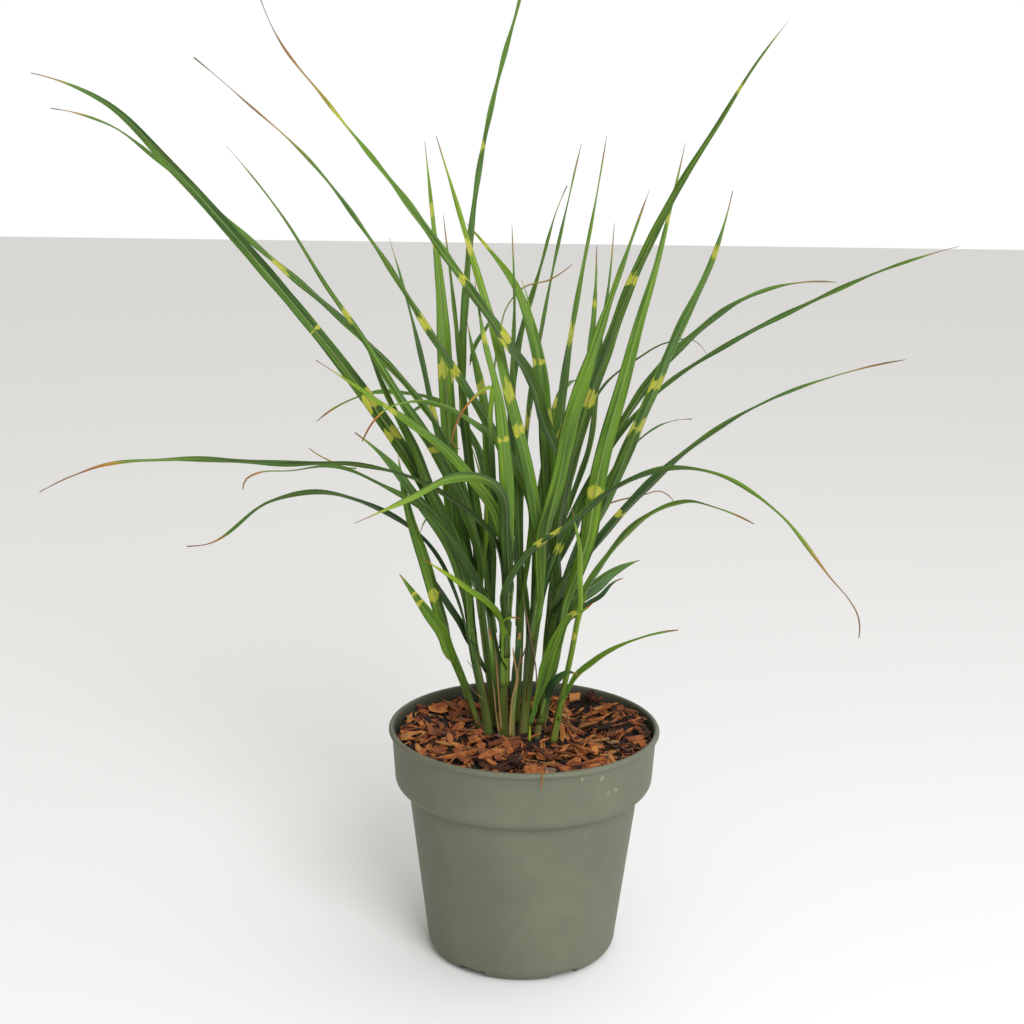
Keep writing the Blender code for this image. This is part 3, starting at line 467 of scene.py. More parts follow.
# %% Shoot lines
CM = 0.01
SHOOTS = {  # name: foot radius mm, top radius mm, centre line cm
    "far_left": (2.3, 2.4, ((-2.9, 2.4, 15.3), (-3.7, 2.2, 16.5), (-4.2, 1.6, 18.6), (-4.8, 1.0, 20.4))),
    "left": (3.2, 2.8, ((-2.4, 1.8, 15.5), (-2.8, 1.6, 17.7), (-3.4, 1.0, 20.8), (-3.9, 0.4, 23.9))),
    "left_back": (3.0, 2.6, ((-2.0, 3.4, 15.4), (-2.5, 3.5, 18.5), (-3.0, 3.7, 22.2), (-3.4, 3.9, 25.3))),
    "mid_left": (3.4, 3.0, ((-1.4, 1.6, 15.5), (-1.4, 1.3, 18.9), (-1.4, 1.0, 22.3), (-1.2, 0.4, 26.5))),
    "front_stub": (2.2, 2.0, ((-0.8, 0.1, 15.3), (-0.8, 0.0, 17.4), (-0.5, 0.3, 19.9))),
    "centre": (4.4, 3.2, ((-0.1, 2.1, 15.4), (0.2, 2.0, 19.1), (0.6, 1.8, 22.5), (0.9, 1.6, 24.7))),
    "centre_right": (3.4, 2.8, ((0.9, 1.2, 15.4), (1.5, 0.9, 18.0), (2.2, 0.5, 21.1), (2.8, 0.1, 25.6))),
    "right": (2.8, 2.2, ((2.0, 0.8, 15.5), (2.6, 0.2, 18.5), (3.2, -0.6, 22.0), (3.7, -1.5, 25.8))),
    "back_right": (4.0, 3.0, ((1.3, 4.3, 15.4), (1.6, 4.2, 19.5), (2.0, 4.1, 24.2), (2.3, 4.0, 26.3))),
    "back_centre": (3.0, 2.5, ((-0.7, 4.6, 15.5), (-0.5, 4.8, 19.6), (-0.4, 5.2, 24.4))),
    "back_left": (3.0, 2.5, ((-1.8, 5.4, 15.4), (-2.0, 5.9, 19.2), (-2.6, 6.8, 23.5))),
    "far_back": (3.2, 2.6, ((0.2, 6.4, 15.7), (0.4, 7.2, 19.6), (0.8, 8.5, 23.5))),
}
SHOOT_FOOT_Z = MOUND_Z + 0.0003
CORE_SHARE, CORE_STATIONS, CORE_SIDES = 0.70, 40, 20


# %% Points on a shoot
def shoot_line(name):
    """A shoot's centre line in metres, cut off level at its foot."""
    points = np.array(SHOOTS[name][2]) * CM
    points[0, 2] = SHOOT_FOOT_Z
    return points


def shoot_at(name, z):
    """Centre and radius of a shoot at the heights z, by interpolation along its line."""
    points = shoot_line(name)
    foot, top = SHOOTS[name][0] / 1000, SHOOTS[name][1] / 1000
    x, y = (np.interp(z, points[:, 2], points[:, k]) for k in range(2))
    radius = np.interp(z, [points[0, 2], points[-1, 2]], [foot, top])
    return np.stack([x, y, np.broadcast_to(z, x.shape)], axis=-1), radius


print("shoots:", len(SHOOTS))

# %% [markdown]
# ## How a blade is made
# A grass leaf is one long strip. Low down it is rolled round the shoot as a sheath, at the collar it opens,
# and above it is a blade: a shallow V with a keel under the midrib, that narrows to a dry tip. So one
# surface serves for both: an arc carried along the midrib, tight in the sheath and nearly flat in the blade.

# %% Midrib curve
def smooth_curve(points, start_direction, step):
    """Evenly spaced points, tangents and lengths along a cubic curve through the points.

    Each span is a Hermite cubic; its slope at a point is that of the parabola through it and its neighbours.
    """
    points = np.asarray(points, float)
    chord = np.linalg.norm(np.diff(points, axis=0), axis=1)
    knot = np.concatenate([[0.0], np.cumsum(chord)])
    slope = np.diff(points, axis=0) / chord[:, None]
    tangent = np.empty_like(points)
    before, after = chord[:-1, None], chord[1:, None]
    tangent[1:-1] = (slope[:-1] * after + slope[1:] * before) / (before + after)
    tangent[0] = np.asarray(start_direction) / np.linalg.norm(start_direction)
    tangent[-1] = 2.0 * slope[-1] - tangent[-2]
    fine = np.linspace(0.0, knot[-1], 600)
    span = np.clip(np.searchsorted(knot, fine, side="right") - 1, 0, len(chord) - 1)
    width = chord[span][:, None]
    t = (fine[:, None] - knot[span][:, None]) / width
    curve = ((2 * t**3 - 3 * t**2 + 1) * points[span] + (t**3 - 2 * t**2 + t) * width * tangent[span]
             + (3 * t**2 - 2 * t**3) * points[span + 1] + (t**3 - t**2) * width * tangent[span + 1])
    length = np.concatenate([[0.0], np.cumsum(np.linalg.norm(np.diff(curve, axis=0), axis=1))])
    even = np.linspace(0.0, length[-1], max(12, int(length[-1] / step)))
    places = np.stack([np.interp(even, length, curve[:, k]) for k in range(3)], axis=1)
    along = np.gradient(places, axis=0)
    return places, along / np.linalg.norm(along, axis=1)[:, None], even


def ease(value, low, high):
    """0 below low, 1 above high, and the smooth cubic step between."""
    t = np.clip((value - low) / (high - low), 0, 1)
    return t * t * (3 - 2 * t)


def unit(vectors):
    """Vectors scaled to length one, row by row."""
    return vectors / np.linalg.norm(vectors, axis=-1, keepdims=True)


# %% Strip surface
ACROSS = np.array([-1.0, -0.78, -0.5, -0.24, -0.07, 0.0, 0.07, 0.24, 0.5, 0.78, 1.0])


def strip_surface(places, tangents, normals, *profile):
    """A closed thin strip along a midrib, as a grid of stations by points round the section.

    The profile is half, curl, fold, thick and ripple at each station. The arc length a runs from -half to
    half. The section is a circle's arc of curvature curl towards the normal, plus a fold of slope fold with a
    rounded bottom, plus a ripple that grows to the edges. The upper skin stands half the thickness above it
    and the lower skin below, with a keel under the midrib.
    """
    half, curl, fold, thick, ripple = (np.asarray(part)[:, None] for part in profile)
    a = half * ACROSS[None, :]
    bend = curl * a
    x = a * np.sinc(bend / np.pi)
    y = 0.5 * curl * a**2 * np.sinc(bend / 2 / np.pi) ** 2
    y = y + fold * (np.sqrt(a**2 + 0.0004**2) - 0.0004) + ripple * np.abs(ACROSS) ** 2.5 * np.sign(ACROSS)
    sides = np.cross(tangents, normals)[:, None, :]
    up_side = normals[:, None, :]
    middle = places[:, None, :] + x[..., None] * sides + y[..., None] * up_side
    skin = np.cos(bend)[..., None] * up_side - np.sin(bend)[..., None] * sides
    lens = thick * (1 - ACROSS**4)
    keel = 2.2 * thick * np.exp(-((a / 0.0008) ** 2))
    groove = 0.5 * thick * np.exp(-((a / 0.0006) ** 2))
    upper = middle + skin * (lens / 2 - groove)[..., None]
    lower = middle - skin * (lens / 2 + keel)[..., None]
    return np.concatenate([upper, lower[:, -2:0:-1]], axis=1)


def strip_faces(stations):
    """Faces of a strip: quads along it, and the two open ends closed by a row of quads each."""
    count = len(ACROSS)
    ring = 2 * count - 2
    faces = grid_quads(stations, ring, True)[:, ::-1]
    lower = np.concatenate([[0], np.arange(ring - 1, count - 1, -1), [count - 1]])
    upper = np.arange(count)
    cap = np.stack([upper[:-1], upper[1:], lower[1:], lower[:-1]], axis=1)
    faces = faces.tolist()
    for row, way in ((cap, 1), (cap + (stations - 1) * ring, -1)):
        for face in row.tolist():
            kept = list(dict.fromkeys(face))
            faces.append(kept[::way])
    return faces


RING_ACROSS = np.concatenate([ACROSS, ACROSS[-2:0:-1]])
print("points round a blade:", len(RING_ACROSS))

# %% [markdown]
# ## The leaves, one by one
# Each leaf has its collar's height on its shoot, the side of the shoot it grows from, its widths, how far the
# blade is turned from facing the front (or the sky, for the hindmost), and its midrib. Forty of the midribs
# lie within 3 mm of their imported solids' own. Five were moved further to match the real plant: far_back_4,
# centre_right_1, mid_left_2 and mid_left_4 by 6 to 20 mm, and back_right_7 stops 63 mm short of its solid.
# The widths are given at every fifth of the length: 72 of the 180 are within 0.5 mm of a measured blade, and
# the others are estimates. Most points of the midribs were worked out by other programs and copied in, so
# this table is data, and no rule in this file gives it.

# %% Leaf table
FRONT, UP = (0.0, -1.0, 0.24), (0.0, 0.0, 1.0)
# name: (collar height cm, side degrees, widths mm at 1/5 to 4/5, turn at base and tip degrees, facing,
#        midrib cm)
LEAVES = {
    "far_left_1": (19.9, 200, (8.3, 8.6, 7.4, 4.8), 15, 25, FRONT, ((-5.32, 0.3, 21.35),
        (-5.8, -0.6, 23.2), (-6.7, -1.6, 24.9), (-7.9, -3, 27.2), (-8.5, -3.6, 28.3))),
    "far_left_2": (19, 20, (9.2, 9.3, 8.1, 4.6), 30, 15, FRONT, ((-5.08, 1.4, 21.57), (-6.2, 0.2, 25.4),
        (-7.03, -0.4, 28.46), (-7.9, -1, 31.4), (-8.7, -2, 36.3))),
    "left_1": (22, 195, (4.6, 6.4, 6.2, 4.4), 55, 60, FRONT, ((-4.7, 0.2, 25.3), (-7.1, 1.2, 29.4),
        (-10.95, 1.5, 31.78), (-14.49, 1, 32.75), (-17.5, 0, 32.3), (-21.83, -1, 29.5),
        (-23.1, -1.2, 29.4))),
    "left_2": (23.6, 100, (9, 7.9, 6.6, 4.2), 25, 20, FRONT, ((-4.6, 0.9, 28.2), (-5.2, 0.6, 30),
        (-6.7, 0, 33.3), (-7.5, -0.6, 35.8), (-9.2, -1.9, 39.6), (-10.9, -3.4, 44.3))),
    "left_3": (23.2, 240, (9.2, 9.6, 8.6, 6.2), 35, 30, FRONT, ((-4.2, -0.4, 26.7), (-5, -0.9, 29.3),
        (-6.2, -1.3, 31.4), (-7.4, -1.8, 33.1), (-9.2, -2.6, 35.7), (-11.4, -3.8, 37.9))),
    "left_4": (22.4, 60, (10.2, 8.8, 7.8, 6.2), 20, 0, FRONT, ((-4.2, 1.5, 26.9), (-6.3, 1.2, 31.9),
        (-8.9, -0.2, 36.7), (-12.5, -3.2, 42.62), (-17.03, -7, 49.16), (-21.36, -11, 55.04),
        (-24.7, -14.5, 59), (-27.9, -17, 60.4))),
    "left_back_1": (25, 240, (4.8, 5.2, 5.4, 3.6), 40, 40, FRONT, ((-3.9, 2.6, 30.8), (-5.5, 1.5, 36.1),
        (-7.8, -0.8, 40.2), (-11.23, -2.4, 44.16), (-17.4, -4.5, 50), (-22.27, -6.5, 54.62),
        (-25.9, -8.5, 57.6), (-28.7, -10, 58.4))),
    "left_back_2": (25.1, 150, (6, 4.6, 4.8, 2.6), 30, 30, FRONT, ((-4, 3.4, 27.5), (-4.8, 3, 31.2),
        (-5.6, 2.6, 34.1), (-6.5, 2.8, 37.6), (-7.4, 3.2, 41.7), (-9.7, 5, 49.8))),
    "left_back_3": (24.6, 330, (9.5, 7.6, 3.6, 1.8), 20, 10, FRONT, ((-3.1, 2.5, 27.7), (-3.7, 1.4, 30.2),
        (-6, -0.8, 35.8), (-8.6, -2.6, 40.2), (-10.75, -4.5, 44.19), (-12.85, -6.5, 47.73),
        (-15.2, -9, 52.2), (-18, -12, 56.4))),
    "mid_left_1": (25.6, 170, (6, 4, 5, 5.2), 50, 55, FRONT, ((-2.2, -0.4, 29.8), (-5.3, -2.4, 33.3),
        (-7.3, -3.6, 34.7), (-11, -6, 36.2), (-15.41, -9, 36.84), (-21.5, -13, 37.85),
        (-25.4, -15.4, 37.9), (-28.6, -17, 36.7))),
    "mid_left_2": (20.4, 190, (7.4, 6.4, 5.8, 2.6), 50, 55, FRONT, ((-2.3, 0.4, 23.2), (-3.9, -1.2, 28.1),
        (-5.1, -2, 30.2), (-6.8, -3.1, 32.5), (-9.24, -4, 34.21), (-12.77, -4.44, 35.75),
        (-15.47, -4.88, 35.55), (-17.69, -5.32, 35.41), (-18.28, -5.76, 35.13), (-18.46, -6.2, 34.53))),
    "mid_left_3": (22.6, 230, (5.1, 5.5, 4.5, 2.4), 30, 40, FRONT, ((-2, -0.4, 24.8), (-2.7, -1.4, 25.9),
        (-3.8, -2.6, 27), (-4.8, -3.6, 28), (-7.1, -5.2, 29.9))),
    "mid_left_4": (23.2, 280, (6.4, 4.8, 3.6, 2.6), 40, 50, FRONT, ((-1.5, -0.8, 26.1),
        (-0.1, -1.9, 29.1), (3.1, -3.4, 32.1), (5.82, -4.8, 34.74), (9.2, -6.6, 36.4), (12.1, -8.2, 36.3),
        (15.45, -10, 34.44), (18.9, -12, 30.5), (19.73, -12.6, 29.63), (20.33, -13, 28.61),
        (20.43, -13.2, 27.26))),
    "mid_left_5": (26.2, 215, (8.4, 8.4, 6.4, 3.4), 25, 30, FRONT, ((-1.6, -0.6, 30), (-2.1, -1, 32),
        (-3.8, -1.6, 34.5), (-5.7, -2.2, 36.7), (-7.7, -3, 38.4), (-9.9, -4, 40.1), (-13.7, -5.5, 42.9))),
    "mid_left_6": (25.9, 270, (9, 8.6, 7.2, 4.8), 30, 45, FRONT, ((-1.4, -1.2, 30.9), (-1.5, -1.9, 32.7),
        (-1.9, -2.8, 34), (-3.1, -4.2, 35.1), (-5.1, -6, 35.4), (-7.6, -8, 34.5), (-10.9, -10, 33.3))),
    "mid_left_7": (26.1, 330, (9.6, 10, 7.2, 3.9), 10, 20, FRONT, ((-1.2, -0.3, 31), (-1.6, -1.5, 36.4),
        (-2.1, -1.8, 40.4), (-3, -1.6, 43.8), (-3.7, -0.5, 47.5))),
    "mid_left_8": (26, 120, (4.4, 4.4, 4, 2.6), 35, 20, FRONT, ((-2.1, 0.5, 31), (-2.5, -0.5, 35.2),
        (-2.6, -2.2, 38.7), (-2.7, -3.7, 41), (-3.7, -4.2, 40.3), (-4.9, -4.6, 38.2), (-5, -4.7, 37.5),
        (-4.5, -4.8, 37.1))),
    "back_left_1": (22.6, 190, (10.6, 11.8, 9.4, 3.8), 10, 10, FRONT, ((-4, 6, 25.3), (-4.8, 5.2, 27.6),
        (-5.4, 4.8, 31.8), (-5.5, 4.6, 35.8), (-5.8, 5, 40), (-6.2, 6.2, 45.51), (-6.8, 8, 50.2),
        (-7.6, 11, 56.2))),
    "back_left_2": (23.2, 60, (7.8, 6.8, 4.6, 4.4), 40, 40, FRONT, ((-3.5, 7, 29.5), (-4.4, 7.2, 34.6),
        (-4.8, 7.2, 39.8), (-4.6, 7.8, 45.3), (-3.46, 10, 55.91), (-2.22, 12, 61.58), (-1, 13.8, 66.1),
        (0, 15.4, 71))),
    "back_left_3": (23, 300, (10, 10, 8.6, 6), 25, 20, FRONT, ((-2.5, 5.4, 29.2), (-2.6, 5, 33.6),
        (-3.1, 4.6, 38.7), (-4, 5, 42.5), (-4.4, 5.6, 44.3))),
    "back_left_4": (22.8, 125, (6, 5, 4.6, 4.2), 50, 50, FRONT, ((-2.9, 9, 29.8), (-4.6, 10, 35.9),
        (-6.4, 10.4, 37.5), (-9, 10.6, 38.1), (-11.4, 10.6, 38.1), (-13.4, 10.4, 37.4), (-15.5, 10.2, 36))),
    "back_centre_1": (23.6, 340, (8, 7.6, 5.6, 3.6), 35, 35, FRONT, ((0.2, 3, 32.3), (-0.9, 2, 34.7),
        (-1.9, 0.8, 36.5), (-3.3, -1, 37.9), (-5.6, -3.5, 39.7), (-7.7, -5.5, 40.3), (-9.1, -6.5, 40),
        (-10.6, -7.2, 38))),
    "back_centre_2": (24, 220, (8.3, 6.6, 4.4, 1.8), 35, 35, FRONT, ((-0.8, 4.6, 30.1), (-1.6, 3.4, 35.1),
        (-3.1, 1.8, 38.2), (-4.56, 0.2, 40.83), (-6.47, -2, 44.19), (-10.03, -5, 50.35),
        (-13.7, -8, 55.6), (-17.4, -11, 59.3), (-19.6, -13, 61.4))),
    "back_centre_3": (24.1, 130, (6.9, 6.6, 5.4, 3.4), 40, 40, FRONT, ((-0.9, 7, 31), (-1.2, 9, 38),
        (-0.8, 9.4, 41.8), (0.7, 10.2, 47.3), (1.9, 11, 51.5), (2.6, 11.4, 53.2))),
    "back_centre_4": (23.8, 40, (6.4, 6, 2.8, 2.4), 40, 40, FRONT, ((-0.3, 6, 31.3), (-0.1, 6, 35.6),
        (0.6, 9.4, 40.9), (1.6, 13, 46.3), (2.8, 16.5, 51.6), (3.8, 19, 55.9))),
    "centre_1": (24.3, 240, (9.2, 8.6, 6.9, 3.9), 20, 20, FRONT, ((0.9, 1.3, 29.2), (0.5, 1, 32),
        (-0.3, 0.8, 36), (-1.4, 1.2, 40), (-2.2, 1.6, 43.4), (-3.77, 2.4, 48.34), (-5.13, 3.4, 52.62),
        (-6.5, 4.6, 56.7))),
    "centre_2": (24.5, 330, (12.6, 12, 10.4, 4), 25, 30, FRONT, ((1.3, 0.6, 30.2), (2.11, 0, 33.9),
        (2.96, -0.8, 38.7), (3.82, -1.3, 41.7), (4.9, -2, 45.6), (6.05, -2.6, 49.38), (7.4, -3.2, 53.7))),
    "centre_3": (23.6, 35, (7, 3.8, 3.4, 3.6), 30, 40, FRONT, ((1.6, 2, 26.7), (2.2, 2, 28.5),
        (4, 1.3, 33.1), (6.35, 1, 37.35), (8.7, 0.5, 40.2), (13.15, -1.5, 43.79), (17.6, -4, 46.7),
        (22.38, -7, 49.46), (25.9, -9, 50.9))),
    "centre_right_1": (17.6, 245, (11, 12.4, 7, 4), 5, 25, FRONT, ((1.15, -0.9, 19.5), (1.55, -1.5, 22),
        (2.1, -2, 23.5), (2.65, -2.5, 24.8), (3.4, -3.1, 25.5), (4.4, -4, 26.6))),
    "centre_right_2": (18.2, 335, (8.4, 9.8, 8, 4), 35, 45, FRONT, ((2.1, -0.5, 19.5), (2.6, -1.2, 20.4),
        (3, -1.8, 20.9), (3.7, -2.6, 21))),
    "centre_right_3": (25, 250, (12.4, 10.9, 6.8, 3.3), 0, 0, FRONT, ((3.5, -0.2, 27.8),
        (4.1, -0.4, 29.9), (4.5, -0.6, 32.9), (5.1, -1, 36.5), (6.28, -0.8, 41.08), (7.3, 0, 45),
        (8.3, 1.2, 48.2), (9.07, 2.4, 51.18), (10.3, 4.2, 56.5))),
    "right_1": (18.2, 350, (6.4, 5.2, 3.2, 2.4), 30, 50, FRONT, ((3.6, -0.4, 20.1), (4.66, -1, 21.32),
        (5.89, -2, 22.63), (7.73, -3.4, 23.99), (10.1, -5, 25.1))),
    "right_2": (25.4, 300, (4.6, 4.6, 3.8, 2.2), 40, 30, FRONT, ((3.7, -1.7, 27.9), (3.6, -2.1, 29.9),
        (3.2, -2.5, 31.6), (2.9, -2.8, 32.8))),
    "back_right_1": (25.8, 300, (11, 9.4, 6, 3.2), 20, 15, FRONT, ((2.1, 3.5, 28.6), (2.8, 2.8, 33.7),
        (4, 1.6, 39), (5.26, 0.6, 43.08), (6.66, -0.8, 47.67), (7.86, -2, 50.77), (9.36, -3.6, 54.17),
        (11.3, -5.5, 57.8), (13.34, -7.5, 61.61), (14.92, -9, 64.01))),
    "back_right_2": (25.2, 340, (9.4, 9.6, 8.7, 5.2), 30, 25, FRONT, ((4.4, 2.4, 28.9), (5, 1.4, 31.2),
        (6.24, 0.2, 34.82), (7.36, -1.4, 38.28), (8.33, -2.6, 41.14), (9.54, -4, 44.78), (11.4, -6, 49.9),
        (12.2, -7.5, 54))),
    "back_right_3": (23.4, 320, (7.6, 8.2, 4.6, 2.1), 45, 50, FRONT, ((3.3, 2.6, 25.7), (4.2, 1.4, 28.1),
        (5.55, 0.2, 30.58), (7.71, -1.2, 33.59), (9.28, -2.2, 35.51), (14.1, -4.6, 39.8),
        (18.4, -7, 42.3), (22.9, -10, 44.1))),
    "back_right_4": (26, 170, (10, 10.4, 6.2, 3.1), 40, 40, FRONT, ((2.5, 4.8, 29.4), (2.1, 4.4, 34.9),
        (1.04, 3.4, 37.54), (0.3, 2.2, 40.2), (-1.92, -0.2, 43.91), (-4.45, -2.4, 47.76),
        (-8.3, -6, 53.5), (-12.96, -9, 59.63), (-14.94, -10.5, 62.34), (-16.1, -11.5, 65.3))),
    "back_right_5": (20.8, 300, (6.8, 6.4, 6, 2.8), 45, 55, FRONT, ((3.2, 1.8, 23.7), (4, 0.8, 25.8),
        (5.4, -0.8, 28.8), (7.9, -3, 32.3), (9.34, -4.2, 33.4), (10.5, -5.2, 33.9), (12.1, -6.4, 33.8),
        (14.4, -7.8, 33.1))),
    "back_right_6": (21.8, 30, (10.8, 11.4, 10.1, 5.7), 20, 30, FRONT, ((3.7, 4.6, 24.6), (4.8, 5, 25.2),
        (6.2, 5.6, 26.1), (8.3, 6.4, 26.8))),
    "far_back_1": (22.8, 200, (10.5, 11.5, 10.5, 5.2), 20, 15, FRONT, ((1.7, 7.2, 28), (1.5, 6.2, 32.5),
        (1.13, 5.6, 37.49), (0.55, 5.8, 41.89), (-1, 7, 46.4), (-3.1, 9, 49), (-4.61, 10.5, 50.51))),
    "far_back_2": (23.2, 330, (8.4, 8.4, 4.2, 2.2), 25, 25, FRONT, ((2, 8.4, 28.5), (2.1, 8.4, 32.2),
        (2.3, 8.8, 35.7), (2.78, 9.8, 40.39), (3.8, 12, 46.7), (4.5, 13.6, 50.3), (5.6, 16.5, 56.6))),
    "far_back_3": (22, 310, (9.4, 7.4, 7, 4.6), 40, 40, FRONT, ((3.2, 6.6, 28.2), (4.2, 6, 31.3),
        (5.2, 5.6, 34), (7.08, 5.2, 37.88), (8.91, 5, 40.7), (11.3, 5, 43.27), (14.7, 5, 45.9),
        (17.3, 5, 46.9), (21.2, 5, 47.2))),
    "far_back_4": (21, 90, (8, 6.3, 5, 3.6), 10, 20, UP, ((1.3, 12, 32), (2.4, 16.5, 36.9), (4, 22, 37.4),
        (5.6, 27, 35.2))),
    "far_back_5": (20.2, 150, (9, 9, 7.6, 4.6), 15, 10, UP, ((-1.6, 11.5, 28), (-4.4, 16, 34),
        (-7.4, 21, 35.5), (-10.6, 25.5, 32.5))),
    "back_right_7": (19.6, 60, (8.4, 8.4, 5, 1.6), 10, 25, UP, ((4.2, 8, 28), (7.95, 12.5, 34.04),
        (11.2, 16.2, 35.3), (12.8, 17.6, 35.2))),
}
print("leaves:", len(LEAVES))

# %% [markdown]
# ## What each leaf looks like
# Young zebra grass has only one to three yellow bands on a blade, as ragged patches a few millimetres long.
# Some leaves are a cool blue-green and some darker or brighter than the rest: partly their own colour, and
# partly painted light, dark and bluish for leaves in shade, bright yellow-green where light shines through.
# A few have gone yellow from the tip down, and most tips have dried over a centimetre or so, to tan, rust or
# grey.

# %% Leaf looks
# name: (tone at collar and at tip: 0 dark green, 0.5 fresh green, 1 yellow; coolness; how pale the midrib is;
#        dry tip cm; 0 grey to 1 rust; bands as (share of the blade's length, half length mm))
# Tone and coolness are partly painted light: lower and cooler for leaves in shade, higher where light shines
# through.
LOOKS = {
    "far_left_1": (0.36, 0.34, 0.1, 0.3, 0.5, 0.3, ((0.8, 1.4), (0.71, 1.4))),
    "far_left_2": (0.3, 0.34, 0.1, 0.2, 0.8, 0.3, ((0.4, 3.4),)),
    "left_1": (0.13, 0.22, 0.4, 0.1, 2.6, 0.7, ()),
    "left_2": (0.2, 0.24, 0.2, 0.2, 0.8, 0.4, ()),
    "left_3": (0.24, 0.34, 0.2, 0.3, 0.8, 0.5, ()),
    "left_4": (0.18, 0.24, 0.1, 0.5, 2, 0.3, ((0.38, 5.5), (0.32, 5), (0.51, 1.4))),
    "left_back_1": (0.22, 0.3, 0.2, 0.2, 2, 0.4, ((0.63, 6),)),
    "left_back_2": (0.24, 0.3, 0.3, 0.1, 1.5, 0.2, ((0.52, 5),)),
    "left_back_3": (0.28, 0.36, 0.2, 0.3, 2.2, 0.1, ((0.34, 2.2), (0.64, 5))),
    "mid_left_1": (0.06, 0.2, 0, 0.2, 5, 0.7, ()),
    "mid_left_2": (0.1, 0.34, 0.2, 0.1, 2.2, 0.7, ()),
    "mid_left_3": (0.46, 0.66, 0, 0.1, 1.1, 1, ()),
    "mid_left_4": (0.14, 0.52, 0.25, 0.2, 6.5, 0.4, ((0.265, 3.2), (0.225, 2.8))),
    "mid_left_5": (0.36, 0.6, 0.1, 0.1, 1.5, 0.6, ((0.73, 4),)),
    "mid_left_6": (0.12, 0.66, 0.35, 0.3, 1.4, 0.4, ()),
    "mid_left_7": (0.4, 0.46, 0.4, 0.3, 1.2, 0.4, ((0.51, 1.8), (0.83, 5))),
    "mid_left_8": (0.04, 0.62, 0.1, 0.1, 4.4, 0.9, ()),
    "back_left_1": (0.32, 0.52, 0, 0.5, 1.5, 0.4, ((0.85, 4.5), (0.775, 2), (0.53, 5))),
    "back_left_2": (0.22, 0.34, 0.1, 0.1, 0.8, 0.6, ((0.67, 3), (0.3, 7))),
    "back_left_3": (0.26, 0.36, 0.2, 0.2, 1, 0.4, ((0.77, 4),)),
    "back_left_4": (0.26, 0.5, 0.3, 0.1, 1.5, 0.8, ()),
    "back_centre_1": (0.28, 0.44, 0.1, 0.2, 2.2, 1, ()),
    "back_centre_2": (0.22, 0.3, 0.2, 0.1, 9, 0.3, ((0.505, 6), (0.41, 3.6))),
    "back_centre_3": (0.18, 0.26, 0.3, 0.1, 1.5, 0.3, ()),
    "back_centre_4": (0.24, 0.34, 0.2, 0.1, 2.5, 0.2, ((0.37, 5.5),)),
    "centre_1": (0.36, 0.6, 0, 0.3, 1.5, 0.4, ((0.77, 6), (0.47, 6.5), (0.39, 3))),
    "centre_2": (0.34, 0.4, 0.1, 0.2, 2, 0.3, ()),
    "centre_3": (0.22, 0.34, 0.4, 0.1, 2, 0.4, ((0.13, 3),)),
    "centre_right_1": (0.38, 0.46, 0.2, 0.1, 0.8, 0.9, ((0.8, 3.4),)),
    "centre_right_2": (0.16, 0.42, 0.7, 0.3, 0.5, 0.5, ()),
    "centre_right_3": (0.36, 0.46, 0.1, 0.4, 2, 0.3, ((0.84, 3), (0.262, 5))),
    "right_1": (0.42, 0.36, 0.2, 0.2, 0.9, 0.4, ()),
    "right_2": (0.56, 0.5, 0, 0.1, 0.8, 0.5, ((-0.28, 4),)),
    "back_right_1": (0.2, 0.3, 0.1, 0.3, 1.5, 0.3, ((0.535, 4), (0.325, 5), (0.88, 3))),
    "back_right_2": (0.26, 0.4, 0.2, 0.3, 1.6, 0.3, ((0.56, 5), (0.45, 5), (0.87, 3.5))),
    "back_right_3": (0.16, 0.32, 0.2, 0.2, 3.4, 0.4, ((0.31, 3.6),)),
    "back_right_4": (0.2, 0.34, 0.1, 0.2, 8.5, 0.4, ((0.525, 5), (0.41, 6), (0.81, 9))),
    "back_right_5": (0.3, 0.34, 0.1, 0.2, 1.4, 0.5, ()),
    "back_right_6": (0.18, 0.3, 0.5, 0.3, 0.5, 0.4, ()),
    "back_right_7": (0.2, 0.24, 0.35, 0.2, 1.2, 0.2, ((0.62, 4),)),
    "far_back_1": (0.28, 0.46, 0.1, 0.2, 1.2, 0.4, ((0.92, 5), (0.61, 2.2), (0.48, 4))),
    "far_back_2": (0.28, 0.42, 0.1, 0.1, 2, 0.3, ((0.565, 8), (0.35, 6))),
    "far_back_3": (0.16, 0.26, 0.3, 0.2, 3, 0.2, ()),
    "far_back_4": (0.24, 0.36, 0.2, 0.3, 1.5, 0.4, ((0.6, 5),)),
    "far_back_5": (0.24, 0.36, 0.2, 0.3, 1.5, 0.4, ((0.45, 4), (0.7, 4))),
}
print("without looks:", set(LEAVES) - set(LOOKS))

# %% [markdown]
# ## Leaf material
# A living leaf: a waxy green skin with fine veins along it and a paler midrib. Every point of a blade knows
# its place across and along the leaf, its distance from the bands, and how far the dry tip has crept down, so
# the pattern follows each blade wherever it bends.

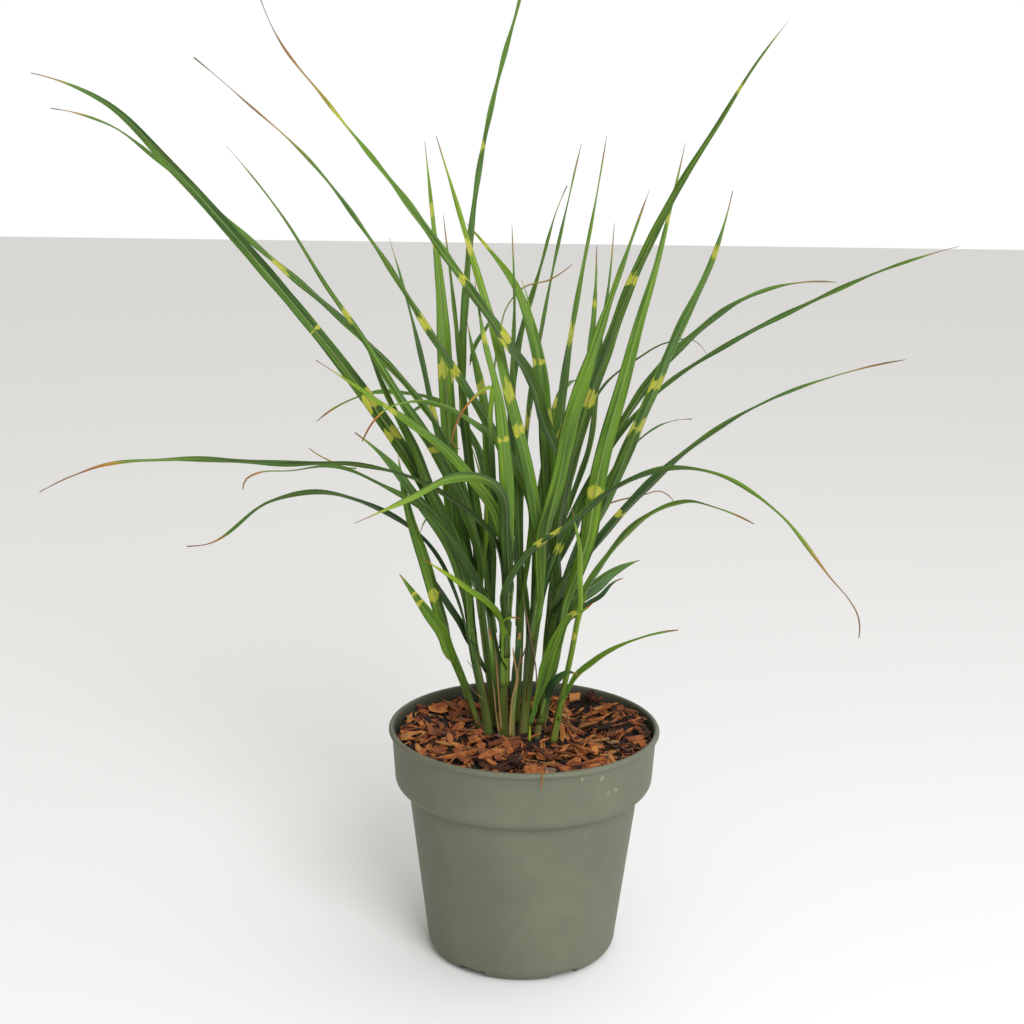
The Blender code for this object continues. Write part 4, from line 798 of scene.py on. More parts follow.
# %% Leaf greens
def leaf_green(tree, place, tone, cool, age):
    """Veined green from tone: a warm and a cool ramp, mixed by patches, swung by streaks and fine veins."""
    streak = drawn_noise(tree, place, (2.6, 20.0, 7.3), 3.0)
    vein = drawn_noise(tree, place, (13.0, 7.0, 3.1), 2.0)
    patch = drawn_noise(tree, place, (0.5, 9.0, 2.9), 1.0)
    cooler = add(tree, "MapRange", (patch, 0.3, 0.7, -0.35, 0.35))
    cool = add(tree, "Math", (cool, cooler), operation="ADD", use_clamp=True)
    swing = add(tree, "MapRange", (streak, 0.25, 0.75, -0.20, 0.20))
    fine = add(tree, "MapRange", (vein, 0.3, 0.7, -0.13, 0.13))
    ripe = add(tree, "MapRange", (age, -1.5, 0.0, 0.0, 0.18))
    shade = tone
    for part in (swing, fine, ripe):
        shade = add(tree, "Math", (shade, part), operation="ADD")
    warm = add(tree, "ValToRGB", (shade,))
    set_ramp(warm, [(0.0, "22320f"), (0.2, "3b5217"), (0.4, "587823"), (0.6, "6d8a20"), (0.8, "86981e"),
                    (1.0, "98a022")])
    blue = add(tree, "ValToRGB", (shade,))
    set_ramp(blue, [(0.0, "1d3222"), (0.3, "3a5a34"), (0.6, "567a3e"), (1.0, "88984a")])
    return add(tree, "MixRGB", (cool, warm, blue)), streak, vein


# %% Leaf bands
def band_colours(tree, place, bands, rib):
    """Where a leaf is banded, and the bands' yellow.

    Near a band the distance in half lengths is swung by a coarse noise, one or two lobes to each half of the
    blade, and slightly by a finer one. What is left under 1 is yellow, apart from the midrib.
    """
    away = add(tree, "VectorMath", (bands,), operation="ABSOLUTE")
    first, second, third = add(tree, "SeparateXYZ", (away,)).node.outputs
    edge = add(tree, "Math", (first, second), operation="MINIMUM")
    edge = add(tree, "Math", (edge, third), operation="MINIMUM")
    lobe = drawn_noise(tree, place, (1.5, 60.0, 9.7), 1.0)
    tooth = drawn_noise(tree, place, (4.0, 160.0, 5.3), 1.0)
    for noise, reach in ((lobe, 0.85), (tooth, 0.12)):
        swing = add(tree, "MapRange", (noise, 0.3, 0.7, -reach, reach))
        edge = add(tree, "Math", (edge, swing), operation="ADD")
    mask = add(tree, "MapRange", (edge, 0.85, 1.15, 0.95, 0.0))
    off_rib = add(tree, "MapRange", (rib, 0.0, 1.0, 1.0, 0.2))
    mask = add(tree, "Math", (mask, off_rib), operation="MULTIPLY")
    yellow = add(tree, "ValToRGB", (tooth,))
    set_ramp(yellow, [(0.3, "8f9a2a"), (0.5, "a5a63a"), (0.7, "ac9f46")])
    return mask, yellow


# %% Sheath and dry tip
def sheath_stains(tree, side, along, height, streak):
    """Shares and colours of four marks: the pale sheath, its dry foot and margin, and the collar's line."""
    sheath = add(tree, "MapRange", (along, 0.0, -0.02, 0.0, 1.0))
    low = add(tree, "Math", (sheath, 0.35), operation="MULTIPLY")
    foot = add(tree, "MapRange", (height, 0.195, 0.156, 0.0, 0.75))
    margin = add(tree, "MapRange", (side, 0.72, 0.95, 0.0, 1.0))
    worn = add(tree, "MapRange", (streak, 0.46, 0.58, 0.0, 0.85))
    for part in (streak, sheath):
        foot = add(tree, "Math", (foot, part), operation="MULTIPLY")
    for part in (worn, sheath):
        margin = add(tree, "Math", (margin, part), operation="MULTIPLY")
    collar = add(tree, "Math", (along,), operation="ABSOLUTE")
    collar = add(tree, "MapRange", (collar, 0.0004, 0.0012, 0.15, 0.0))
    return (low, "62743a"), (foot, "86883a"), (margin, "7d6037"), (collar, "7f9150")


def dried_leaf(tree, side, age, rust, streak, vein):
    """How dry the leaf is, patchy and from the edges in, and the grey or rusty colour that it dries to."""
    patchy = add(tree, "MapRange", (streak, 0.3, 0.7, -0.16, 0.16))
    edge = add(tree, "Math", (side, 4.0), operation="POWER")
    edge = add(tree, "Math", (edge, 0.22), operation="MULTIPLY")
    dry = age
    for part in (patchy, edge):
        dry = add(tree, "Math", (dry, part), operation="ADD")
    fibrous = add(tree, "MapRange", (vein, 0.3, 0.7, -0.22, 0.22))
    hue = add(tree, "Math", (dry, fibrous), operation="ADD")
    grey = add(tree, "ValToRGB", (hue,))
    set_ramp(grey, [(0.0, "86843c"), (0.2, "8e7e48"), (0.6, "86704c"), (1.0, "766858")])
    rusty = add(tree, "ValToRGB", (hue,))
    set_ramp(rusty, [(0.0, "a08a28"), (0.15, "a4702a"), (0.45, "8c5228"), (1.0, "6c4a32")])
    dead = add(tree, "MixRGB", (rust, grey, rusty))
    return add(tree, "MapRange", (dry, -0.05, 0.12, 0.0, 1.0)), dead


# %% Leaf material
def leaf_material():
    """Living grass blade: gives the eye veined green with ragged yellow patches and tips gone tan or grey."""
    material, tree, shader = new_material("living_grass_blade")
    place, bands, growth, habit = (add(tree, "Attribute", out="Vector", attribute_name=name)
                                   for name in ("place", "bands", "growth", "habit"))
    height = add(tree, "SeparateXYZ", (add(tree, "TexCoord", out="Object"),), "Z")
    across, along, _ = add(tree, "SeparateXYZ", (place,)).node.outputs
    age, tone, cool = add(tree, "SeparateXYZ", (growth,)).node.outputs
    paleness, rust, _ = add(tree, "SeparateXYZ", (habit,)).node.outputs
    side = add(tree, "Math", (across,), operation="ABSOLUTE")
    colour, streak, vein = leaf_green(tree, place, tone, cool, age)
    rib = add(tree, "MapRange", (side, 0.03, 0.12, 1.0, 0.0))
    pale = add(tree, "Math", (rib, paleness), operation="MULTIPLY")
    for share, tint in ((pale, "8b9d60"), *sheath_stains(tree, side, along, height, streak)):
        colour = add(tree, "MixRGB", (share, colour, linear(tint)))
    mask, yellow = band_colours(tree, place, bands, rib)
    colour = add(tree, "MixRGB", (mask, colour, yellow))
    dried, dead = dried_leaf(tree, side, age, rust, streak, vein)
    colour = add(tree, "MixRGB", (dried, colour, dead))
    rough = add(tree, "MapRange", (dried, 0.0, 1.0, 0.46, 0.8))
    bump = add(tree, "Bump", {"Height": vein, "Strength": 0.4, "Distance": 0.00025})
    set_inputs(shader, {"Base Color": colour, "Roughness": rough, "Normal": bump, "IOR": 1.45,
                        "Specular IOR Level": 0.22, "Subsurface Weight": 0.15,
                        "Subsurface Radius": (0.5, 1.0, 0.2), "Subsurface Scale": 0.001})
    return material


grass_skin = leaf_material()
print("leaf material nodes:", len(grass_skin.node_tree.nodes))

# %% [markdown]
# ## Making a leaf
# The midrib starts low on the shoot, inside the next leaf's sheath, follows the shoot up to the collar, and
# goes on along the table's points.

# %% Leaf builder
def blade_normals(tangents, toward, view, turns, share):
    """Upper-face directions: towards the shoot at the collar, then turned about the midrib from the view."""
    view = np.asarray(view)
    facing = unit(view - (tangents @ view)[:, None] * tangents)
    across = np.cross(tangents, facing)
    turned = facing * np.cos(turns)[:, None] + across * np.sin(turns)[:, None]
    base = unit(toward - (tangents @ toward)[:, None] * tangents)
    start = int(np.argmax(share > 0))
    sign = 1.0 if float(turned[start] @ base[start]) >= 0.0 else -1.0
    mix = ease(share, 0.0, 0.3)[:, None]
    return unit(base * (1.0 - mix) + sign * turned * mix)


def sheath_line(name, collar, outward, offset, begin):
    """Midrib of a sheath: up the shoot's outside, from begin to the collar, standing offset off the axis."""
    heights = np.linspace(begin, collar, max(3, int((collar - begin) / 0.012) + 1))
    centre, radius = shoot_at(name, heights)
    return centre + outward * (radius[:, None] * 0.72 + offset), float(radius[-1] * 0.72 + offset)


def shoot_of(leaf):
    """The name of the shoot that a leaf grows on."""
    return leaf.rsplit("_", 1)[0]


# %% What the material reads on a leaf
def leaf_marks(s, length, look, seed):
    """What the leaf material reads at each point: place, distances from the bands, age and tones, habit."""
    tone_collar, tone_tip, cool, paleness, dry_cm, rust, band_list = look
    shape = (len(s), len(RING_ACROSS))
    age = (s - (length - dry_cm * CM)) / (dry_cm * CM)
    tone = tone_collar + (tone_tip - tone_collar) * ease(s / length, 0.3, 0.95)
    place = np.stack(np.broadcast_arrays(RING_ACROSS[None, :], s[:, None], float(seed)), axis=-1)
    marks = np.full((*shape, 3), 100.0)
    for k, (at, reach) in enumerate(band_list):
        marks[..., k] = (s[:, None] - at * length) / (reach * 0.001)
    growth = np.stack(np.broadcast_arrays(age[:, None], tone[:, None], np.full(shape, cool)), axis=-1)
    habit = np.broadcast_to((paleness, rust, 0.0), (*shape, 3))
    return {"place": place, "bands": marks, "growth": growth, "habit": habit}, age


def half_width(share, widths):
    """Half-width in metres: straight runs between the widths at the fifths, from 0.6 of the first to 0.3 mm.

    A fifth width, where there is one, is the tip's instead of 0.3 mm.
    """
    return 0.0005 * np.interp(share, np.linspace(0, 1, 6), (0.6 * widths[0], *widths, 0.3)[:6])


# %% One leaf
def make_leaf(name, step=0.004):
    """One leaf, sheath and blade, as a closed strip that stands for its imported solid."""
    shoot = shoot_of(name)
    collar_cm, side, widths, turn_base, turn_tip, view, points = LEAVES[name]
    mates = sorted(row[0] for leaf, row in LEAVES.items() if shoot_of(leaf) == shoot)
    above = sum(z > collar_cm for z in mates)
    below = [z for z in mates if z < collar_cm]
    seed = list(LEAVES).index(name)
    rng = np.random.default_rng(100 + seed)
    outward = np.array([math.cos(math.radians(side)), math.sin(math.radians(side)), 0.0])
    begin = max(SHOOT_FOOT_Z - 0.003, (below[-1] if below else 0.0) * CM - 0.015)
    offset = 0.0003 + 0.00028 * min(above, 4)
    sheath, stand = sheath_line(shoot, collar_cm * CM, outward, offset, begin)
    path = np.vstack([sheath, np.asarray(points) * CM])
    places, tangents, length = smooth_curve(path, sheath[1] - sheath[0], step)
    sheath_length = np.linalg.norm(np.diff(sheath, axis=0), axis=1).sum()
    s = length - sheath_length
    share = s / s[-1]
    turns = np.radians(turn_base + (turn_tip - turn_base) * np.clip(share, 0, 1))
    turns += math.radians(7) * np.sin(s / rng.uniform(0.025, 0.045) + rng.uniform(0, 6)) * ease(s, 0.03, 0.1)
    normals = blade_normals(tangents, -outward, view, turns, share)
    marks, age = leaf_marks(s, s[-1], LOOKS[name], seed)
    wrap = np.interp(s, [-sheath_length, -0.005], [2.6, 1.9])
    half = half_width(np.clip(share, 0, 1), widths)
    half *= 1 - 0.3 * np.clip(age, 0, 1) + 0.04 * np.sin(s / 0.021 + seed)
    opening = ease(s, -0.002, 0.012)
    half = wrap * stand * (1 - opening) + half * opening
    curl = (1 - ease(s, -0.004, 0.022)) / stand + 3.0
    fold = 0.55 * ease(s, 0.002, 0.015) * (1 - ease(s, 0.02, 0.10)) + 0.24 * ease(s, 0.01, 0.05)
    fold += 0.5 * np.clip(age, 0, 1)
    thick = np.interp(share, [0, 1], [0.00032, 0.00018])
    ripple = 0.0005 * np.sin(s / rng.uniform(0.006, 0.010) + rng.uniform(0, 6)) * ease(s, 0.03, 0.10)
    grid = strip_surface(places, tangents, normals, half, curl, fold, thick, ripple)
    return make_piece("grass_" + name, grid, strip_faces(len(s)), grass_skin, ["leaf_" + name], marks)


grass = [make_leaf(name) for name in LEAVES if name != "centre_right_1"]
print("leaf pieces:", len(grass), "faces:", sum(len(piece.data.polygons) for piece in grass))

# %% [markdown]
# ## Loose leaves and dry strips
# Between the main leaves stand slim young ones, torn stubs, and straw-like strips of dead sheath. They are
# too small to be solids of their own, and each is the same kind of strip without a sheath. Many of their
# points were worked out by another program and copied in.

# %% Loose leaf table
# name: (widths mm at 1/5 to 4/5, turn at base and tip degrees, midrib cm, look as above)
# The last stands for a packed leaf: its own sheath is hidden, and only a slim stalk shows.
LOOSE = {
    "upright_1": ((5, 5.8, 6.4, 5.6), 25, 35, ((1.2, 3.2, 17.9), (1.45, 4, 21.04), (2.1, 5, 27.1),
        (2.8, 6, 31.3), (3.4, 8, 35.3), (4.4, 11, 40.7), (5, 15, 48.7)),
        (0.34, 0.34, 0.1, 0.2, 1.5, 0.2, ((0.863, 2.4),))),
    "upright_2": ((4.6, 4.9, 4.1, 2.5), 30, 20, ((0.9, 8.4, 23.4), (2.2, 8.3, 28), (3.6, 8.1, 32),
        (4.4, 8, 34.6), (5, 10, 39.4), (5.3, 11, 43), (5.6, 12, 44.5), (6.2, 14, 50.4)),
        (0.2, 0.25, 0.3, 0.1, 2.5, 0.1, ((0.74, 1.6),))),
    "upright_3": ((5.1, 5.4, 4.5, 2.7), 20, 45, ((-0.4, 4.9, 24.4), (-0.5, 3.8, 27.6), (-0.6, 3, 30.5),
        (-0.8, 4, 36.2), (-1.1, 4.5, 38.8), (-1.1, 5, 46), (-1.3, 5, 50.8)),
        (0.22, 0.28, 0.2, 0.2, 2, 0.1, ())),
    "upright_4": ((5.5, 5.9, 4.9, 2.9), 35, 25, ((-2.5, 6.4, 23), (-2.8, 5, 25.6), (-3.3, 5.5, 28.4),
        (-4.2, 6, 34.9), (-4.9, 6, 41.4), (-5.5, 6.5, 46.6), (-6.1, 7, 51.3)),
        (0.24, 0.3, 0.1, 0.1, 2, 0.1, ())),
    "low_left": ((4, 5.6, 6.2, 4), 30, 40, ((-2.76, 2.6, 19.41), (-3.4, 2, 20.87), (-4.03, 1.5, 22.13),
        (-4.42, 1.2, 23.11), (-5.61, 1.4, 24.94), (-6.6, 2, 26.5), (-7.2, 2.6, 27.6)),
        (0.08, 0.12, 0.5, 0.1, 0.4, 0.4, ())),
    "folded_tip": ((6.4, 6.9, 5.7, 3.4), 40, 60, ((2.7, 3.2, 23), (3.5, 3, 23.8), (4.5, 2.8, 24.7),
        (5.2, 2.6, 25.2), (6, 2.2, 26.2), (6.8, 1.8, 26.7)), (0.1, 0.2, 0.6, 0.2, 0.5, 1, ())),
    "behind_arch": ((2.9, 3.1, 2.6, 1.6), 45, 45, ((0.9, 8.4, 23.4), (2.1, 8.8, 29), (3.2, 9, 33.8),
        (4.2, 9, 36.6), (5.5, 9, 39.2), (7.8, 9, 41.1), (9.9, 9, 42.3), (11.8, 9, 42.5), (12.8, 9, 41.5)),
        (0.16, 0.22, 0.3, 0.1, 1.2, 0.1, ())),
    "bright_sprout": ((3.7, 3.9, 3.2, 2), 30, 30, ((2.6, 2.4, 17.5), (3.2, 2.6, 20.4), (3.6, 3, 22.4),
        (3.9, 3, 23.6), (4.1, 3, 24.5), (4.5, 3, 26)), (0.62, 0.66, 0, 0.1, 0.2, 0.5, ())),
    "thin_bright": ((2.8, 2.9, 2.4, 1.5), 30, 30, ((-3.3, 3.8, 25.2), (-2.9, 3.2, 28.4), (-2.9, 3, 31.6),
        (-3.1, 3, 32.9), (-3.4, 3, 34.1), (-4, 3, 36)), (0.6, 0.7, 0, 0.1, 0.3, 0.5, ())),
    "yellow_tip": ((1.3, 1.5, 1.5, 1.1), 20, 20, ((1, 5.2, 38), (0.7, 4.8, 40.6), (0.3, 4.5, 43),
        (0, 5, 45.2), (-0.6, 5, 47.1)), (0.3, 0.5, 0, 0.1, 0.4, 0.4, ())),
    "grey_fold": ((3.4, 6.2, 6.6, 4.2), 60, 50, ((-2.6, 5.8, 44.4), (-3.1, 5.7, 43.4), (-3.7, 5.5, 42.4),
        (-4.15, 5.4, 41)), (0.5, 0.5, 0.9, 0.2, 0.3, 0.2, ())),
    "back_droop": ((5.5, 5.9, 4.9, 2.9), 50, 40, ((-2.4, 6.6, 22.6), (-2.4, 5.6, 26), (-2.6, 5, 28.6),
        (-3.3, 5, 29.8), (-5.6, 6, 30.1), (-6.6, 6.5, 30.1), (-7.7, 7, 28.5)),
        (0.16, 0.3, 0.4, 0.1, 0.6, 0.4, ())),
    "tiny_tip": ((2.2, 2.4, 1.9, 1.2), 50, 50, ((-1.7, 0.2, 23.7), (-1.5, 0, 24.1), (-0.8, -0.4, 24.4),
        (-0.3, -0.6, 24.3)), (0.55, 0.85, 0, 0, 0.6, 1, ())),
    "torn_stub": ((4.4, 5, 5.4, 4.6, 1.2), 10, 10, ((-0.8, 1.1, 16.2), (-0.7, 1, 19.6), (-0.6, 1, 20.7),
        (-0.5, 1, 21.8), (-0.4, 1, 22.9)), (0.12, 0.16, 0.6, 0.1, 0.5, 0.5, ())),
    "amber_tip": ((3.3, 3.5, 2.9, 1.8), 20, 30, ((-1.9, 0.9, 17), (-2.2, 0.5, 19.6), (-2.3, 0.2, 21.2),
        (-2.5, 0, 23.6)), (0.1, 0.46, 0.1, 0.1, 0.9, 1, ())),
    "new_shoot": ((1.7, 1.9, 1.5, 0.9), 20, 20, ((0.4, -0.3, 15.3), (0.4, -0.3, 15.9), (0.4, -0.3, 16.7)),
        (0.8, 0.75, 0, 0.1, 0.1, 0.3, ())),
    "centre_right_1": ((4.6, 11, 9.6, 4.4), 0, 30, ((0.41, -0.3, 16.53), (0.67, -0.4, 17.6),
        (0.81, -0.5, 18.37), (0.99, -0.6, 19.03), (1.22, -0.8, 19.94), (1.49, -1.1, 21.15),
        (1.95, -1.7, 22.86), (2.28, -2.2, 23.96), (2.67, -2.6, 24.9), (3.13, -3, 25.52),
        (3.68, -3.4, 25.82), (4.49, -4, 26.65)), (0.36, 0.42, 0.3, 0.1, 0.8, 0.9, ((0.84, 3),))),
}
print("loose leaves:", len(LOOSE))

# %% Dry strip table
# name: (width mm, turn degrees, line cm, age at start and end, 0 grey to 1 rust)
STRIPS = {
    "curled_straw": (2.2, 50, ((-2.8, 6.4, 36), (-2.5, 6.8, 40), (-2, 7, 43.5), (-1.7, 7, 44.7),
        (-0.4, 7.5, 46.3), (1.4, 8, 46.8), (3, 8, 47.9)), -0.8, 0.25, 0.4),
    "left_straw": (1.8, 50, ((-11.4, -2.8, 35.3), (-12, -3, 35.4), (-13.2, -3.5, 36), (-14.4, -4, 36.9)),
        -0.3, 0.6, 0.15),
    "right_straw": (1.7, 60, ((4.3, 2, 31.2), (5.4, 1.5, 32), (8.1, 0.6, 33), (9, 0.3, 33.3),
        (10, 0, 32.6)), 0, 0.6, 0.4),
    "sheath_strip_1": (1.7, 20, ((-1.6, 0.6, 15.8), (-1.75, 0.55, 17.6), (-1.9, 0.6, 19.4),
        (-2.1, 0.6, 21.8)), 0.25, 0.7, 0.3),
    "sheath_strip_2": (1.6, 35, ((-1.75, 0.1, 15.7), (-1.95, 0.15, 17), (-2.1, 0.2, 18.4),
        (-2.25, 0.2, 19.6)), 0.3, 0.7, 0.3),
    "sheath_strip_3": (2.6, 20, ((-0.95, -0.15, 15.6), (-0.95, -0.15, 16.6), (-0.85, -0.1, 18.4),
        (-0.55, 0.1, 19.8), (-0.75, 0.1, 21.2), (-0.85, 0, 22.1)), 0.1, 0.5, 0.2),
    "sheath_strip_4": (2, 60, ((-0.6, 0.15, 19.3), (-0.5, 0.2, 20), (-0.35, 0.1, 21.2), (-0.3, 0, 22.1)),
        0.3, 0.9, 0.2),
    "sheath_strip_5": (3, 10, ((1.35, 1.35, 15.8), (1.6, 1.3, 17), (1.75, 1.2, 18.4)), 0.4, 0.7, 0.5),
    "sheath_strip_6": (2.4, 70, ((-0.35, 0.8, 20.6), (-0.1, 0.6, 21.4), (0.05, 0.5, 22)), 0.6, 1, 0.6),
    "torn_sheath": (2.8, 30, ((2.6, 2.2, 22), (2.75, 2.2, 23.6), (2.95, 2.2, 25.2)), 0.3, 0.8, 0.8),
    "dead_leaf": (1.5, 40, ((0.9, 1.7, 18.6), (0.8, 1.6, 20.1), (0.55, 1.2, 21.6), (0.2, 1, 23.5),
        (0, 0.9, 24.6), (-0.2, 0.8, 25.6)), 0.75, 1, 0.5),
    "hanging_strand": (1.9, 30, ((2.7, 0.3, 18.8), (2.75, 0.1, 18.1), (3, -0.2, 17.2), (3.45, -0.6, 16.3),
        (3.7, -0.8, 16.3), (3.95, -1.1, 16.9), (4.3, -1.4, 17.7)), 0.2, 0.5, 0.4),
    "foot_bract": (4.5, 20, ((-3.8, 2.5, 17), (-3.6, 2.2, 16.4), (-3.2, 1.9, 15.8), (-2.8, 1.6, 15.4)),
        0.5, 0.9, 0.7),
    "hair_1": (0.5, 20, ((-2.9, 1, 17.9), (-3.6, 1.2, 18.5), (-4.1, 1.4, 19.2)), 0.4, 0.9, 0.2),
    "hair_2": (0.5, 20, ((-3, 1.4, 19.2), (-3.6, 1.4, 20), (-4.1, 1.4, 20.7)), 0.4, 0.9, 0.2),
    "fibre_over_lip": (0.9, 10, ((1.3, -8.8, 16.1), (1.2, -9.3, 16.62), (1.15, -9.56, 16.45),
        (1.1, -9.62, 16), (1.05, -9.6, 15.4)), 0.2, 0.3, 1),
}
print("dry strips:", len(STRIPS))


# %% Loose leaf builder
def make_loose(name, half_at, turn_base, turn_tip, points, marks_of, curl, stands_for=()):
    """A strip without a sheath: half_at gives its half-width for a share of its length."""
    path = np.asarray(points) * CM
    places, tangents, s = smooth_curve(path, path[1] - path[0], 0.003)
    share = s / s[-1]
    turns = np.radians(turn_base + (turn_tip - turn_base) * share)
    facing = unit(np.asarray(FRONT) - (tangents @ np.asarray(FRONT))[:, None] * tangents)
    normals = facing * np.cos(turns)[:, None] + np.cross(tangents, facing) * np.sin(turns)[:, None]
    half = half_at(share)
    even = np.ones(len(s))
    grid = strip_surface(places, tangents, normals, half, curl * even, 0.3 * even,
                         np.minimum(0.00025, half * 0.6), 0.0003 * np.sin(s / 0.005) * (half > 0.001))
    return make_piece(name, grid, strip_faces(len(s)), grass_skin, stands_for, marks_of(s))


# %% Loose leaves and strips from their tables
def loose_leaf(name, seed):
    """A young or torn leaf from its row of the table."""
    widths, turn_base, turn_tip, points, look = LOOSE[name]
    stands_for = ["leaf_" + name] if name in LEAVES else ()
    return make_loose("loose_" + name, lambda share: half_width(share, widths), turn_base, turn_tip, points,
                      lambda s: leaf_marks(s, s[-1], look, seed)[0], 40.0, stands_for)


def dry_strip(name, seed):
    """A dead strip: its age runs evenly from its first value to its last."""
    width, turn, points, first, last, rust = STRIPS[name]

    def marks(s):
        found = leaf_marks(s, s[-1], (0.3, 0.3, 0.0, 0.0, 1.0, rust, ()), seed)[0]
        found["growth"] = found["growth"].copy()
        found["growth"][..., 0] = (first + (last - first) * s / s[-1])[:, None]
        return found

    def half_at(share):
        uneven = 0.8 + 0.2 * np.sin(9 * share + len(name))
        return width * 0.0005 * uneven * (1 - 0.7 * ease(share, 0.85, 1.0))

    return make_loose("dry_" + name, half_at, turn, turn + 40, points, marks, 90.0)


loose = [loose_leaf(name, 60 + k) for k, name in enumerate(LOOSE)]
strips = [dry_strip(name, 90 + k) for k, name in enumerate(STRIPS)]
print("loose leaves:", len(loose), "dry strips:", len(strips))

# %% [markdown]
# ## Shoot cores
# Inside the sheaths is the youngest, still rolled leaf. It shows only between the collars, as a slim
# green tube that tapers upwards.

# %% Shoot cores
def core_material():
    """Rolled young leaf: gives the eye a smooth pale green tube, lighter and pinkish at its foot."""
    material, tree, shader = new_material("rolled_young_leaf")
    place = add(tree, "TexCoord", out="Object")
    height = add(tree, "SeparateXYZ", (place,), "Z")
    lines = drawn_noise(tree, place, (900.0, 900.0, 25.0), 2.0)
    level = add(tree, "MapRange", (height, 0.15, 0.20, 0.0, 0.7))
    mixed = add(tree, "MapRange", (lines, 0.3, 0.7, -0.15, 0.15))
    level = add(tree, "Math", (level, mixed), operation="ADD")
    colour = add(tree, "ValToRGB", (level,))
    set_ramp(colour, [(0.0, "6e6238"), (0.25, "6a7636"), (0.6, "4c6426"), (0.9, "3e5822")])
    set_inputs(shader, {"Base Color": colour, "Roughness": 0.45})
    return material


# %% Core builder
def tube(line, radii, sides):
    """Rings round a line: centre plus radius times (cos, sin), level rings, closed by poles at both ends."""
    turn = np.linspace(0, 2 * math.pi, sides, endpoint=False)
    radii = np.concatenate([[0.0], radii, [0.0]])[:, None]
    line = np.vstack([line[:1], line, line[-1:]])[:, None, :]
    ring = np.stack([np.cos(turn), np.sin(turn), np.zeros(sides)], axis=-1)[None]
    return line + radii[..., None] * ring


def make_core(name, material):
    """The core of a shoot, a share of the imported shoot's radius, up to its top."""
    top = SHOOTS[name][2][-1][2] * CM
    centre, radius = shoot_at(name, np.linspace(SHOOT_FOOT_Z - 0.002, top, CORE_STATIONS))
    taper = 1 - 0.75 * ease(np.linspace(0, 1, CORE_STATIONS), 0.75, 1.0)
    grid = tube(centre, radius * CORE_SHARE * taper, CORE_SIDES)
    faces = grid_quads(len(grid), CORE_SIDES, True)
    piece = make_piece("core_" + name, grid, faces, material, ["shoot_" + name])
    finish_mesh(piece)
    return piece


rolled = core_material()
cores = [make_core(name, rolled) for name in SHOOTS]
print("cores:", len(cores))

# %% [markdown]
# ## Bark mulch
# Screened pine bark: flat flakes, splinters and shreds from crumbs to strips of four centimetres, lying loose
# on each other. Every chip is the same small closed shape, stretched and roughened, and is laid on what
# already lies under it, so the pile builds up as a real one does.

# %% Chip shapes
CHIP_SIDES = 8


def chip_shapes(size, rng):
    """Chips in their own frame: three rings of eight points, roughened, and pointed if they are slim."""
    count = len(size)
    turn = np.arange(CHIP_SIDES) + rng.uniform(-0.32, 0.32, (count, CHIP_SIDES))
    turn = turn * 2 * math.pi / CHIP_SIDES
    square = np.maximum(np.abs(np.cos(turn)), np.abs(np.sin(turn))) ** -0.75
    reach = square * rng.uniform(0.66, 1.0, (count, CHIP_SIDES))
    layer = 1 + rng.uniform(-0.07, 0.07, (count, 3, CHIP_SIDES))
    layer = np.array([0.88, 1.0, 0.90])[None, :, None] * layer
    slim = np.clip(1.6 - 3.0 * size[:, 1] / size[:, 0], 0.0, 0.8)[:, None]
    x = 0.5 * size[:, 0, None, None] * layer * (reach * np.cos(turn))[:, None, :]
    narrowed = reach * np.sin(turn) * (1 - slim * np.cos(turn) ** 2)
    y = 0.5 * size[:, 1, None, None] * layer * narrowed[:, None, :]
    z = size[:, 2, None, None] * (np.array([-0.5, 0.1, 0.5])[None, :, None]
                                  + rng.uniform(-0.14, 0.14, (count, 3, CHIP_SIDES)))
    bow = rng.uniform(-1.0, 1.0, count)[:, None, None] * 0.14
    z = z + bow * x**2 / np.maximum(size[:, 0, None, None], 0.001)
    return np.stack([x, y, z], axis=-1)


def chip_faces(count):
    """Faces of all chips: a bottom, two belts of quads and a top each."""
    ring = np.arange(CHIP_SIDES)
    after = np.roll(ring, -1)
    belts = np.vstack([np.stack([ring + k, after + k, after + k + CHIP_SIDES, ring + k + CHIP_SIDES], axis=1)
                       for k in (0, CHIP_SIDES)])
    starts = np.arange(count) * 3 * CHIP_SIDES
    sides = (belts[None] + starts[:, None, None]).reshape(-1, 4).tolist()
    bottoms = (ring[::-1][None] + starts[:, None]).tolist()
    tops = (ring[None] + 2 * CHIP_SIDES + starts[:, None]).tolist()
    return sides + bottoms + tops


# %% Laying the chips
CELL = 0.001
GROUND = np.arange(-0.096, 0.0961, CELL)
FILL_RADIUS = 0.0902
HIGHEST_FLAKE_Z = 0.1640


def shoot_gap(x, y):
    """Distance from a point on the ground to the nearest shoot's skin."""
    gaps = [np.hypot(x - shoot_line(n)[0, 0], y - shoot_line(n)[0, 1]) - SHOOTS[n][0] / 1000 for n in SHOOTS]
    return np.min(gaps, axis=0)


def clear_of_wall(spots, yaws, sizes):
    """Pull chips in until their far corner, seen along the radius, is inside the pot's wall."""
    r, bearing = np.hypot(spots[:, 0], spots[:, 1]), np.arctan2(spots[:, 1], spots[:, 0])
    off = yaws - bearing
    reach = 0.5 * (sizes[:, 0] * np.abs(np.cos(off)) + sizes[:, 1] * np.abs(np.sin(off)))
    allowed = np.clip((FILL_RADIUS - reach) / np.maximum(r, 0.001), 0.0, 1.0)
    return spots * allowed[:, None]


